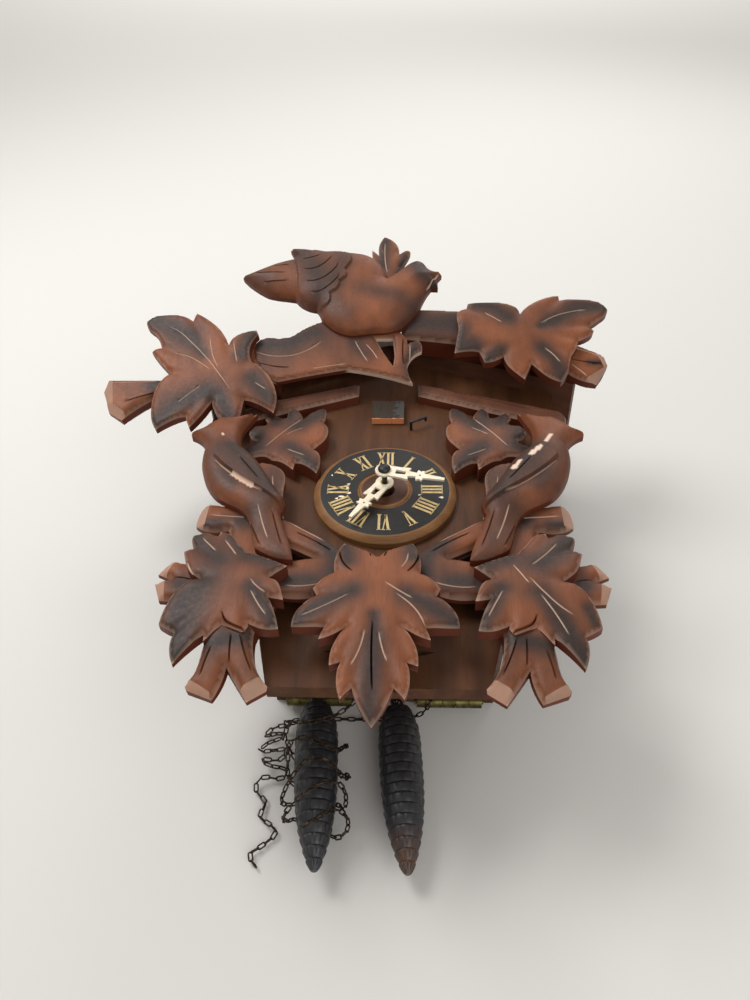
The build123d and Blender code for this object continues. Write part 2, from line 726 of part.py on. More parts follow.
def cuckoo():
    """The small bird on its push rod, facing out."""
    y, z = CUCKOO_Y, CUCKOO_Z
    body = Pos(0, y, z + 9) * scale(Sphere(4.5), (1.0, 1.0, 2.4))
    head = Pos(0, y + 3.0, z + 18.5) * Sphere(3.5)
    beak = Pos(0, y + 2.8, z + 23) * Cone(1.4, 0.3, 4.0)
    tail = block(-2.6, 2.6, y - 1, y + 0.8, z - 9, z + 4)
    post = block(-1.4, 1.4, PUSH_Y, y, z + 14.5, z + 17.5)
    push = rod(0, PUSH_Y, PUSH_BACK, z + 17.5, PUSH_R)
    return body + head + beak + tail + post + push


def bird_guide():
    """The bracket on the plates that the cuckoo's rod runs in: two bored walls on a foot."""
    high = FRONT_PLATE_Z + PLATE_THICK
    guide = block(-9, 9, PLATE_TOP, PLATE_TOP + 3, BACK_PLATE_Z, high)
    for z in (BACK_PLATE_Z + 10, high - 3):
        guide += block(-6, 6, PLATE_TOP + 3, PUSH_Y + PUSH_R, z, z + 3)
        guide -= block(-PUSH_R, PUSH_R, PUSH_Y, PUSH_Y + 2 * PUSH_R, z - 1, z + 4)
    return guide - rod(0, PUSH_Y, BACK_PLATE_Z, high + 1, PUSH_R + RUN)


def cuckoo_door():
    return block(-DOOR_HALF, DOOR_HALF, DOOR_BOTTOM, DOOR_TOP, FRONT + GAP, FRONT + GAP + DOOR_THICK)


def door_latch():
    """A bent wire that turns on a small pin beside the door."""
    x, y = LATCH
    z = FRONT + GAP + DOOR_THICK + 1.4
    wire = wire_between((x, y), (x + 9, y + 5), z, LATCH_WIRE_R)
    wire += rod(x, y, FRONT - LATCH_DEEP, z + LATCH_WIRE_R, LATCH_PIN_R)
    return wire + rod(x + 9, y + 5, z - 2.5, z + LATCH_WIRE_R, LATCH_WIRE_R)


# Carved leaves, branches and birds


def carved_face(strokes):
    """A carved outline from strokes, each smooth within and starting at a corner."""
    edges = []
    for stroke, following in zip(strokes, strokes[1:] + strokes[:1]):
        points = stroke + following[:1]
        edges.append(Line(*points) if len(points) == 2 else Spline(*points))
    return make_face(edges)


def carved(strokes, z0, z1):
    return Pos(0, 0, z0) * extrude(carved_face(strokes), z1 - z0)


def leaf(strokes, z0, z1, centre):
    """A leaf with a slightly domed front."""
    return carved(strokes, z0, z1) & (Pos(centre[0], centre[1], z1 - LEAF_DOME_R) * Sphere(LEAF_DOME_R))


def both_sides(strokes, foot, head):
    """A symmetrical outline: one side's strokes from a foot up to a head, and their mirror image."""
    other = []
    for stroke, following in zip(strokes, strokes[1:] + [[head]]):
        other.insert(0, [(-x, y) for x, y in following[:1] + stroke[:0:-1]])
    x, y = strokes[0][0]
    return [[foot]] + strokes + other + [[(-x, y)]]


# Outlines of the carvings, right-hand pieces first, then those of the leaning crown
LOWER_LEAF = [
    [(96, -51), (90, -49), (85, -50)], [(83, -51)], [(82, -48), (76, -51), (71, -58)],
    [(66, -64), (56, -68)], [(45, -73), (49, -77)], [(53, -80), (48, -84), (46, -89)],
    [(44.5, -94), (48, -93.5)], [(52, -92), (49, -98)], [(45, -110), (52, -110.5)],
    [(59, -107), (59, -110)], [(61, -112.5), (67, -110)], [(71, -108)], [(78, -117)],
    [(78.5, -113), (83, -118)], [(90, -128), (94, -119)], [(95, -111), (98, -108)],
    [(100, -104), (99, -95), (93, -84)], [(86, -81), (93, -75), (96.5, -67)], [(98, -62)],
    [(93.5, -59.5), (95.5, -55)]]
CENTRE_SIDE = [
    [(9, -139)], [(13.6, -144.6), (15.7, -137), (15.5, -131)], [(14.5, -126.7)],
    [(19.3, -129), (18.8, -121), (16, -114)], [(13, -109), (18, -113)], [(25, -115.7)],
    [(23, -108.6), (29, -109)], [(38, -108.4), (37, -101), (33, -95)], [(28, -90.3)],
    [(30, -86.7), (26, -81)], [(20.5, -76.5), (20.5, -66)], [(17, -57), (8, -61)]]
UPPER_LEAF = [
    [(43, 6), (47, 10)], [(51, 12)], [(54, 6), (61, 9)], [(66, 17), (74, 16)], [(84, 20), (84, 27)],
    [(80, 32), (87, 37)], [(90, 48), (83, 50)], [(77, 48), (77, 58)], [(72, 68), (64, 63)],
    [(58, 54), (50, 62)], [(38, 66), (40, 55)], [(46, 46), (40, 45)], [(34, 40), (37, 33)],
    [(43, 31), (41, 18)]]
CROWN_LEAF_LEFT = [
    [(-159, 37), (-157, 31), (-150, 24)], [(-145.5, 14.5), (-149, 13)],
    [(-151, 10.5), (-147, 5), (-141, -2)], [(-137, -6.5), (-142, -13), (-145, -31), (-143.5, -41)],
    [(-140, -48), (-131, -42)], [(-123, -38.5)], [(-119.5, -47), (-114, -40)],
    [(-107.5, -28), (-104, -37), (-97, -43)], [(-90.5, -46.5), (-88.5, -35)], [(-88, -27), (-76, -32)],
    [(-69, -36.5), (-68, -25), (-73, -11)], [(-86, 2), (-88, 10)], [(-83.5, 23.5)],
    [(-85, 27), (-93, 25), (-99, 21)], [(-102, 15.7), (-109, 28), (-117, 36)], [(-126, 42.5)],
    [(-128, 36.5), (-137, 41), (-147, 42), (-154, 41)]]
CROWN_LEAF_RIGHT = [
    [(41.5, 8), (50, 9)], [(57, 9)], [(60, 0), (66, 1)], [(72, 5), (74, -2), (79, -8)], [(84, -12.5)],
    [(89, -0.5), (93, -6), (100, -12)], [(106, -14.5), (110, -9), (112, -1)], [(114, 6), (118, 13)],
    [(119, 17), (124, 19), (128, 22)], [(129.5, 25)], [(127, 28.5), (134, 34), (139, 39)],
    [(140, 43), (136, 48), (125, 50.5), (116, 50.5)], [(110, 50)], [(109.5, 53.5), (100, 51), (90, 45)],
    [(84, 38.8), (82, 43), (77, 46), (64, 48)], [(51, 47.5)],
    [(50, 44), (45, 41), (44.5, 26), (43, 17)]]
SMALL_LEAF = [
    [(3, 62), (5, 74)], [(8, 90)], [(12, 98), (13, 106)], [(6, 104), (3, 114)],
    [(-4.5, 120), (-8, 112)], [(-8, 103)], [(-13, 107), (-12, 98)], [(-8, 88), (-2, 76)]]
SIDE_BRANCH = [
    [(56.5, -110), (55.5, -120), (52, -129.5)], [(47.5, -135)], [(47.8, -136.8)],
    [(55.8, -142.5), (60, -136.5)], [(66.8, -126.5), (68, -134)], [(71, -141.8)], [(82.5, -137.5)],
    [(83.8, -135.5), (80.5, -129), (79, -119)], [(78, -110), (85, -96)], [(93, -87.5)], [(107, -86.5)],
    [(111.3, -76)], [(103, -73.5)], [(111.3, -69.3)], [(106, -61.3)], [(97, -63.5), (88, -60)],
    [(79, -48), (79, -44)], [(81, -38.5), (96, -37.5)], [(99, -35), (99.3, -28), (97, -21.5), (84, -21.5)],
    [(73, -24), (60, -27), (52, -31)], [(40, -39), (24, -50)], [(17, -57), (16, -68)],
    [(22, -78), (34, -84)], [(47, -84), (52, -95)]]
SIDE_BIRD = [
    [(110, 28), (105, 30), (97, 34), (88, 37)], [(77, 43), (80, 34), (81, 23)],
    [(78, 12), (70, 0), (64, -14), (59, -26)], [(57, -33), (53, -46), (49, -58)], [(45.5, -71)],
    [(60, -66), (65, -57), (69, -48), (72, -39), (79, -31), (89, -24), (96, -14), (101, 0), (102.5, 12)],
    [(103, 18), (107, 21)]]
SIDE_WING = [
    [(95, 6), (93, 1), (85, -5), (76, -14), (68, -20)], [(59, -27), (63, -14), (70, 0)],
    [(78, 12), (86, 15), (92, 12)]]
FAR_WING = [
    [(72, 8), (60, 5), (55, 0)], [(54, -8), (53, -22)], [(50, -37), (58, -30), (66, -16)]]
TWIG = [
    [(-70, -8), (-48, -3)], [(-25, 1.5), (-4, -3)], [(15.5, -9.5), (13, -3), (12, 4), (15, 11)],
    [(21, 15.5), (21, 21)], [(19, 24), (15, 23)], [(12, 21), (10.5, 27)], [(7, 31)], [(-30, 33)],
    [(-44, 40), (-54, 35), (-66, 27)], [(-77, 27), (-84, 25)], [(-88, 15.6), (-84, 4)]]
CROWN_BIRD = [
    [(-99, 74.5), (-94, 69), (-88, 64), (-80, 59), (-70, 57)], [(-62, 55.5), (-59, 52), (-54, 48.5)],
    [(-47.5, 46.5), (-45, 42)],
    [(-44, 38), (-28, 26), (-10, 27), (1, 28), (8, 31), (12.5, 36), (19, 43), (22.5, 52), (25, 60)],
    [(27, 67)], [(32, 73)], [(34.5, 78.5), (30, 80.5)],
    [(26, 81.5), (23.5, 86.5), (18, 88.5), (12, 84.5), (6, 78)],
    [(-2, 72), (-6, 84), (-13, 91), (-28, 95), (-42, 95)], [(-44, 95), (-54, 98)], [(-68.5, 99)],
    [(-64, 90), (-77, 86), (-89, 80)]]


def branch():
    """The right-hand carved branch: three stubs and the arm to the centre leaf, round an open gap."""
    z0, z1 = FRONT, FRONT + BRANCH_THICK
    gap = [(33, -58.5), (46, -61), (53, -60), (56, -50), (49, -49.5)]
    back = FRONT + STUB_BACK
    whole = carved(SIDE_BRANCH, z0, z1) + stub_front(z1)
    whole -= block(40, 95, -160, PANEL_BOTTOM - GAP, z0 - 1, back) + block(100, 120, -95, -55, z0 - 1, back)
    return whole - prism(gap, z0 - 1, z1 + 1)


def stub_front(z):
    """The front of the two lower stubs: level with the leaf above them, and falling to their ends."""
    slope = [(40, -104, z), (40, -104, z + STUB_RISE), (40, -112, z + STUB_RISE), (40, -141, z)]
    wedge = extrude(make_face(Polyline(*slope, close=True)), 55, dir=(1, 0, 0))
    return carved(SIDE_BRANCH, z, z + STUB_RISE) & wedge


def gable_branch():
    """A flat lath under the right-hand roof slope, round at its outer end."""
    edges = [Line((19, 102), (19, 90)), Line((19, 90), (100, 57)),
             ThreePointArc((100, 57), (109, 60), (107, 71)), Line((107, 71), (19, 102))]
    return round_prism(edges, FRONT, FRONT + GABLE_BRANCH_THICK)


def side_bird():
    """The right-hand bird in relief, tail down, its near wing standing proud and its far wing behind."""
    z0 = FRONT + BRANCH_THICK
    z1 = z0 + BIRD_THICK
    axis = Plane((82, -10, z0 - 12), x_dir=(0, 0, 1), z_dir=(43, 98, 0))
    body = carved(SIDE_BIRD, z0, z1) & (axis * Cylinder(28, 180))
    wing = carved(SIDE_WING, z0, z1) & (axis * Cylinder(30, 180))
    return body + wing + carved(FAR_WING, FRONT, z0 + 2)


def crown_frame():
    """Places a piece drawn flat, with its front at Z = 0, on the leaning plane of the crown."""
    tilt = math.radians(CROWN_LEAN)
    return Plane((0, CROWN_Y, FRONT + CROWN_FRONT), x_dir=(1, 0, 0),
                 z_dir=(0, -math.sin(tilt), math.cos(tilt))).location


def on_crown(solid):
    """A crown piece, cut to seat against the roof's front edge and the front panel."""
    behind = block(-ROOF_HALF, ROOF_HALF, PANEL_BOTTOM, RIDGE_UNDER, 0, FRONT)
    return crown_frame() * solid - roof_board() - mirrored(roof_board()) - behind


def crown_twig():
    """The centre of the crown: a forked twig with a sawn lower edge and an open fork."""
    fork = prism([(-9, 26), (-3, 14), (3, 4), (4, 12), (2.8, 26)], -CROWN_THICK - 1, 1)
    return on_crown(carved(TWIG, -CROWN_THICK, 0) - fork)


def crown_log(points, end):
    """A log of the crown, thinner beyond the roof, where it ends in a stub."""
    thin = block(end, 2 * end, -60, 60, -CROWN_LOG_THICK - 1, -CROWN_STUB_THICK)
    return on_crown(prism(points, -CROWN_LOG_THICK, 0) - thin)


def crown_log_left():
    return crown_log([(-179.5, -5.5), (-181, -14), (-178, -21), (-176, -28), (-166, -35), (-148, -20),
                      (-130, -12), (-70, -8), (-70, 20), (-89, 22), (-140, -5.5)], -126)


def crown_log_right():
    return crown_log([(21, 24), (46, 22), (106, 8), (123, -7), (130, -8.5), (134.5, -2), (138, 5),
                      (136.5, 12), (121, 20), (47, 47), (22, 47)], 114)


def crown_bird():
    """The large bird on the twig, its body rounded, the tail flat and the far wing behind."""
    axis = Plane((-10, 59, 0), x_dir=(0, 0, 1), z_dir=(110, -14, 0))
    rounded = axis * scale(Cylinder(20, 200), (0.65, 1.75, 1))
    return on_crown(Pos(0, 0, 2) * (carved(CROWN_BIRD, -13, 14) & rounded))


# Weights and chains


def weight_radius(rise):
    """Radius of a pine cone at a height above its tip."""
    if rise < WEIGHT_WIDEST:
        return WEIGHT_R * (1 - 0.78 * (1 - rise / WEIGHT_WIDEST) ** 2.2)
    return WEIGHT_R * (1 - 0.4 * ((rise - WEIGHT_WIDEST) / (WEIGHT_LENGTH - WEIGHT_WIDEST)) ** 2.5)


def weight():
    """A pine-cone weight standing on its tip at the origin: scales as ridges, and a wire hook on top."""
    points = [(0, 0)]
    step = WEIGHT_LENGTH / WEIGHT_RIDGES
    for i in range(WEIGHT_RIDGES):
        low, high = i * step, (i + 0.55) * step
        points += [(weight_radius(low) - 0.9, low), (weight_radius(high), high)]
    points += [(weight_radius(WEIGHT_LENGTH) - 0.9, WEIGHT_LENGTH), (0, WEIGHT_LENGTH)]
    cone = revolve(make_face(Polyline(*[(r, y, 0) for r, y in points], close=True)), Axis.Y)
    top = WEIGHT_LENGTH + HOOK_STEM
    stem = Pos(0, top - 1.5, 0) * Rot(90, 0, 0) * Cylinder(HOOK_R, 4)
    ring = Pos(0, top + HOOK_LOOP_R, 0) * Torus(HOOK_LOOP_R, HOOK_R)
    return cone + stem + ring


def laid(solid, place):
    """A weight, or what goes round it, laid on the floor with its tip at a place."""
    return Pos(*place) * Rot(0, 0, WEIGHT_TILT) * solid


def winding_point(turn):
    """A point of the chain wound round the left weight, by turns from its start, in the weight's frame."""
    radius = WEIGHT_R + CHAIN_R + WINDING_CLEAR
    angle = 2 * math.pi * turn
    return Vector(-radius * math.sin(angle), WINDING_TOP - WINDING_PITCH * turn, radius * math.cos(angle))


def winding_direction(turn):
    reach = 2 * math.pi * (WEIGHT_R + CHAIN_R + WINDING_CLEAR)
    angle = 2 * math.pi * turn
    return Vector(-reach * math.cos(angle), -WINDING_PITCH, -reach * math.sin(angle)).normalized()


def biarc(p0, t0, p1, t1):
    """Two arcs that leave p0 along t0 and reach p1 along t1."""
    v = p1 - p0
    a = 2 * (t0.dot(t1) - 1)
    b = -2 * v.dot(t0 + t1)
    c = v.dot(v)
    d = c / -b if abs(a) < 1e-9 else (-b - math.sqrt(b * b - 4 * a * c)) / (2 * a)
    d = abs(d)
    q0, q1 = p0 + t0 * d, p1 - t1 * d
    middle = (q0 + q1) * 0.5
    return [arc_to(p0, q0, middle), arc_to(middle, q1, p1)]


def tube(edges, start, direction):
    """A round tube of chain size along joined edges."""
    return sweep(Plane(start, z_dir=direction) * Circle(CHAIN_R), Wire(edges))


def chain_winding():
    """The chain's free length wound loosely round the left weight, as one tube in quarter turns."""
    edges = []
    steps = 4 * WINDING_TURNS
    for i in range(steps):
        t0, t1 = i / 4, (i + 1) / 4
        edges += biarc(winding_point(t0), winding_direction(t0), winding_point(t1), winding_direction(t1))
    first = winding_point(0) - winding_direction(0) * WINDING_LEAD
    last = winding_point(WINDING_TURNS) + winding_direction(WINDING_TURNS) * WINDING_LEAD
    edges = [Line(first, winding_point(0))] + edges + [Line(winding_point(WINDING_TURNS), last)]
    samples = [winding_point(i / 40) for i in range(40 * WINDING_TURNS + 1)]
    least = min((b - a).length for i, a in enumerate(samples) for b in samples[i + 20:])
    print("chain_winding least gap to itself", round(least - 2 * CHAIN_R, 2))
    return laid(tube(edges, first, winding_direction(0)), WEIGHT_LEFT)


def route(points, name):
    """Straight runs joined by arcs as large as the runs allow."""
    p = [Vector(*q) for q in points]
    edges = []
    here = p[0]
    radii = []
    for a, b, c in zip(p, p[1:], p[2:]):
        reach = 0.45 * min((b - a).length, (c - b).length)
        turn = math.radians((b - a).get_angle(c - b))
        start, end = b - (b - a).normalized() * reach, b + (c - b).normalized() * reach
        edges += [Line(here, start), arc_to(start, b, end)]
        here = end
        radii.append(round(reach / math.tan(turn / 2), 1))
    edges.append(Line(here, p[-1]))
    print(name, "length", round(sum(e.length for e in edges), 1), "radii", radii)
    return tube(edges, p[0], p[1] - p[0])


def over_sprocket(middle, side):
    """Points of a chain over a sprocket, from the strand on one side (-1 left, 1 right) to the other."""
    y = great_place()[1]
    points = [(middle + side * CHAIN_LINE_R, BOX_BOTTOM + 26, CHAIN_Z + 0.2)]
    for a in (22.5, 67.5, 112.5, 157.5):
        dx, dy = polar(CHAIN_LINE_R / math.cos(math.radians(22.5)), a)
        points.append((middle + side * dx, y + dy, CHAIN_Z))
    return points + [(middle - side * CHAIN_LINE_R, BOX_BOTTOM + 26, CHAIN_Z + 0.2)]


def hook_place(place):
    """The middle of a weight's hook."""
    x, y = polar(WEIGHT_LENGTH + HOOK_STEM + HOOK_LOOP_R, 90 + WEIGHT_TILT)
    return place[0] + x, place[1] + y, place[2]


def chain_right():
    """The time chain: from the right hook over its sprocket, out again, and loose on the floor."""
    x, y, z = hook_place(WEIGHT_RIGHT)
    points = [(x, y, z + HOOK_R + GAP), (great_x() - CHAIN_LINE_R + 2, y + 0.4, CHAIN_Z)]
    points += over_sprocket(great_x(), -1)
    points.append((great_x() + CHAIN_LINE_R, OUTSIDE, CHAIN_Z))
    floor = [(26, OUTSIDE - 2), (-6, OUTSIDE - 4), (-40, OUTSIDE - 2), (-60, -104), (-53, -120), (-63, -136),
             (-53, -150), (-60, -172)]
    points += [(px, py, FLOOR_Z) for px, py in floor]
    return route(points, "chain_right")


def chain_left():
    """The strike chain: from the left hook over its sprocket and out again to the winding."""
    x, y, z = hook_place(WEIGHT_LEFT)
    points = [(x, y, z + HOOK_R + GAP), (-great_x() - CHAIN_LINE_R - 1.5, y + 0.2, CHAIN_Z)]
    points += over_sprocket(-great_x(), -1)
    end = laid(Vertex(*winding_point(0)), WEIGHT_LEFT).center()
    lead = WINDING_LEAD + GAP
    points += [(-great_x() + CHAIN_LINE_R, -97, CHAIN_Z), (end.X + 15, end.Y + 3, end.Z + 2),
               (end.X + lead, end.Y + lead * 0.19, end.Z)]
    return route(points, "chain_left")


def save(name, solids):
    """Writes one node, a single solid or a group of separate solids."""
    group = solids if isinstance(solids, list) else [solids]
    parts = [s for solid in group for s in solid.solids()]
    nodes[name] = parts
    export_step(Compound(children=parts) if len(parts) > 1 else parts[0], f"parts/{name}.step")


def pair(name, solid):
    """A right-hand piece and its mirror image."""
    save(name + "_right", solid)
    save(name + "_left", mirrored(solid))


def build_case():
    save("front_panel", front_panel())
    pair("side_panel", side_panel())
    save("bottom_board", bottom_board())
    pair("roof_board", roof_board())
    save("back_rail", back_rail())
    save("back_door", back_door())
    places = (-HINGE_X, HINGE_X)
    on_board = [hinge_half(x, 0, BACK_THICK + 2 * GAP, BACK_THICK + BOARD_LEAF) for x in places]
    save("hinge_board_leaves", on_board + hinge_pins())
    save("hinge_door_leaves", [hinge_half(x, 1, GAP, BACK_THICK - GAP) for x in places])


def build_dial():
    save("dial", dial())
    save("hour_hand", hand(HOUR_HAND_LENGTH, PIPE_R, HOUR_HAND_LEVEL, HOUR_HAND_ANGLE))
    save("minute_hand", hand(MINUTE_HAND_LENGTH, ARBOR_R, MINUTE_HAND_LEVEL, MINUTE_HAND_ANGLE))
    save("hand_nut", hand_nut())


def build_movement():
    save("movement_front_plate", front_plate())
    save("movement_back_plate", back_plate())
    save("movement_pillars", pillars() + standoffs())
    save("movement_screws", screws())
    save("time_chain_wheel", chain_wheel(great_place(), LOW_WHEEL_Z))
    save("strike_chain_wheel", chain_wheel(strike_place(), STRIKE_WHEEL_Z))
    save("centre_arbor", centre_arbor())
    save("third_wheel", third_wheel())
    save("escape_wheel", escape_wheel())
    save("anchor", anchor())
    save("pendulum_leader", leader())
    save("minute_wheel", minute_wheel())
    save("hour_wheel", hour_wheel())
    save("pin_wheel", pin_wheel())
    save("fly", fly())


def build_sound():
    save("gong", gong())
    save("gong_hammer", gong_hammer())
    save("whistle_boxes", [whistle_box(), mirrored(whistle_box())])
    pair("bellows_lid", bellows_lid())
    save("bellows_cloths", [bellows_cloth(), mirrored(bellows_cloth())])
    save("cuckoo", cuckoo())
    save("bird_guide", bird_guide())
    save("cuckoo_door", cuckoo_door())
    save("door_latch", door_latch())


def build_carvings():
    deck = FRONT + BRANCH_THICK
    lower = leaf(LOWER_LEAF, deck, deck + LEAF_THICK, LOWER_LEAF_CENTRE)
    pair("lower_leaf", lower)
    stem = branch() - lower
    pair("side_branch", stem)
    centre = both_sides(CENTRE_SIDE, (0, -157), (0, -66))
    save("centre_leaf", Pos(CENTRE_LEAF_SHIFT, 0, 0) * leaf(centre, deck, deck + LEAF_THICK, (0, -85)))
    save("gable_branches", [gable_branch(), mirrored(gable_branch())])
    upper = leaf(UPPER_LEAF, FRONT, FRONT + UPPER_LEAF_THICK, (70, 30))
    save("upper_leaves", [upper, mirrored(upper)])
    pair("side_bird", side_bird() - lower - upper - stem)
    twig = crown_twig()
    save("crown_twig", twig)
    save("crown_log_left", crown_log_left() - twig)
    save("crown_log_right", crown_log_right() - twig)
    left_leaf = on_crown(leaf(CROWN_LEAF_LEFT, 0, CROWN_LEAF_THICK, (-93, -25)))
    save("crown_leaf_left", left_leaf - mirrored(upper))
    save("crown_leaf_right", on_crown(leaf(CROWN_LEAF_RIGHT, 0, CROWN_LEAF_THICK, (86, 17))))
    bird = crown_bird() - twig
    save("crown_bird", bird)
    save("crown_small_leaf", on_crown(leaf(SMALL_LEAF, -CROWN_THICK, -5, (0, 85))) - bird)


def build_weights():
    save("weight_right", laid(weight(), WEIGHT_RIGHT))
    save("weight_left", laid(weight(), WEIGHT_LEFT))
    save("chain_winding_left", chain_winding())
    save("chain_left", chain_left())
    save("chain_right", chain_right())


os.makedirs("parts", exist_ok=True)
build_case()
build_dial()
build_movement()
build_sound()
build_carvings()
build_weights()
print(len(nodes), "nodes")
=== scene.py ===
import math

import bpy
import numpy as np
from mathutils import Matrix, Vector
from mathutils.geometry import delaunay_2d_cdt


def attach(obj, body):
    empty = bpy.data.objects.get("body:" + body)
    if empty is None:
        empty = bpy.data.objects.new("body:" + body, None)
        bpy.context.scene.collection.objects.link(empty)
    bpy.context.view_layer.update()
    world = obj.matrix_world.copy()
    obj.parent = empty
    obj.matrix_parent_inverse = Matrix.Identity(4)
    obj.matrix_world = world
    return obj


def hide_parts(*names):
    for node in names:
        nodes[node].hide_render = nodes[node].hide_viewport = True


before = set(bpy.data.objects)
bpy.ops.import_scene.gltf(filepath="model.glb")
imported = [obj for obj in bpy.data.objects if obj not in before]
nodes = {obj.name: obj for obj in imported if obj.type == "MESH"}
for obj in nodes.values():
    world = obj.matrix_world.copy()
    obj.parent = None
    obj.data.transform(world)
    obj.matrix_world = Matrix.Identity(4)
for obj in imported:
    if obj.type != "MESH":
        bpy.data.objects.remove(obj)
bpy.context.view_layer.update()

# Sizes, in millimetres, in the row frame: X right, Y up the dial, Z out of the front
MM = 0.001
FRONT = 85.0
DECK = 100.0
LEAF_TOP = 110.0
DIAL_FACE = 91.0
CROWN_LEAN = math.radians(20.0)
CROWN_ORIGIN = (0.0, 93.7, FRONT + 23.6)
LOG_BACK = -20.0
LOG_FRONT = -0.6

# Carving: spacing of mesh points, width of cuts, valleys, edges, facets and backs, and tones
GRID = 1.5
BIRD_GRID = 1.2
CUT_HALF = 0.52
VALLEY_DEPTH = 1.2
VALLEY_HALF = 2.8
LEAF_ROUND = 4.0
WING_STEP = 0.9
BIRD_EDGE = 3.5
# The painted highlight along the rounded rim reaches this far in from the outline
RIM_HIGHLIGHT_REACH = 0.9
FACET_REACH = 9.0
FACET_DROP = 0.6
FACET_TONE = 0.3
UNDERCUT_REACH = 8.0
LEAST_THICK = 0.5
SIDE_TONE = 0.9
SHARP_ANGLE = math.radians(38.0)

# Depth of cuts and of grooves, and tones of cuts, of the painted shade in grooves and of the painted
# highlight on the rounded rim
LEAF_STYLE = (0.7, 2.2, 0.9, 1.0, 0.22)
LOG_STYLE = (0.6, 1.2, 0.8, 0.6, 0.25)
BIRD_STYLE = (0.8, 0.9, 1.0, 0.55, 0.0)

# Dial: radii of the numerals' feet and heads, sizes of their strokes, and heights above the ring
NUMERAL_LOW = 20.5
NUMERAL_HIGH = 32.0
STROKE_WIDE = 1.35
STROKE_GAP = 0.5
SERIF_HALF = 1.2
SERIF_THICK = 0.5
GILT_THICK = 0.25
FLAKE_RIM = 0.12
FLAKE_MIDDLE = 0.2

# Weights, with the places of their tips
WEIGHT_LENGTH = 88.0
WEIGHT_R = 12.3
WEIGHT_WIDEST = 65.0
WEIGHT_TILT = math.radians(4.0)
WEIGHT_RIGHT = (13.8, -179.0, 12.6)
WEIGHT_LEFT = (-29.5, -180.0, 16.1)
CONE_SLIM = 0.94
CONE_ROWS = 17
CONE_SCALES = 11
SCALE_LIP = 1.0
RUST_REACH = 22.0
HOOK_R = 1.1
HOOK_LOOP_R = 2.6
HOOK_STEM = 2.0
HOOK_MIDDLE = WEIGHT_LENGTH + HOOK_STEM + HOOK_LOOP_R

# Chains
CHAIN_R = 1.4
CHAIN_LINE_R = 9.8
CHAIN_Z = 46.5
SPROCKET_X = 15.515
SPROCKET_Y = -19.858
CHAIN_INSIDE = -52.0
CHAIN_OUTSIDE = -87.0
FLOOR_Z = 1.8
LINK_LONG = 5.2
LINK_WIDE = 2.8
LINK_WIRE = 0.42
LINK_PITCH = LINK_LONG - 3.2 * LINK_WIRE
WINDING_R = WEIGHT_R + CHAIN_R + 0.5
WINDING_TOP = 70.0
WINDING_PITCH = 13.0
WINDING_TURNS = 4
TURN_POINTS = 12

# Bellows cloth: middle, half sizes, lower edge, height and depth of a pleat
CLOTH_X = 53.0
CLOTH_Z = 51.0
CLOTH_HALF_X = 8.4
CLOTH_HALF_Z = 11.9
CLOTH_LOW = 38.05
CLOTH_TALL = 4.9
PLEAT = 1.9

# Camera: angles, aim and distance in metres, and the photograph's focal length and width in pixels
AZIMUTH = math.radians(3.55)
ELEVATION = math.radians(42.72)
ROLL = math.radians(-2.25)
CAMERA_AIM = Vector((-0.0056, -0.0022, 0.085))
CAMERA_FAR = 0.4562
SENSOR = 36.0
PHOTO_FOCAL = 810
PHOTO_WIDTH = 750

FLAT = Matrix.Identity(4)
CROWN = Matrix.Translation(CROWN_ORIGIN) @ Matrix.Rotation(CROWN_LEAN, 4, "X")
MIRROR = Matrix.Diagonal((-1, 1, 1, 1))
SIDES = (("right", FLAT), ("left", MIRROR))


# Materials

BRASS = ((176, 140, 78), (120, 92, 48))


def srgb(colour):
    """A linear colour from display values of 0 to 255 that aren't close to black."""
    return tuple(((c / 255 + 0.055) / 1.055) ** 2.4 for c in colour) + (1.0,)


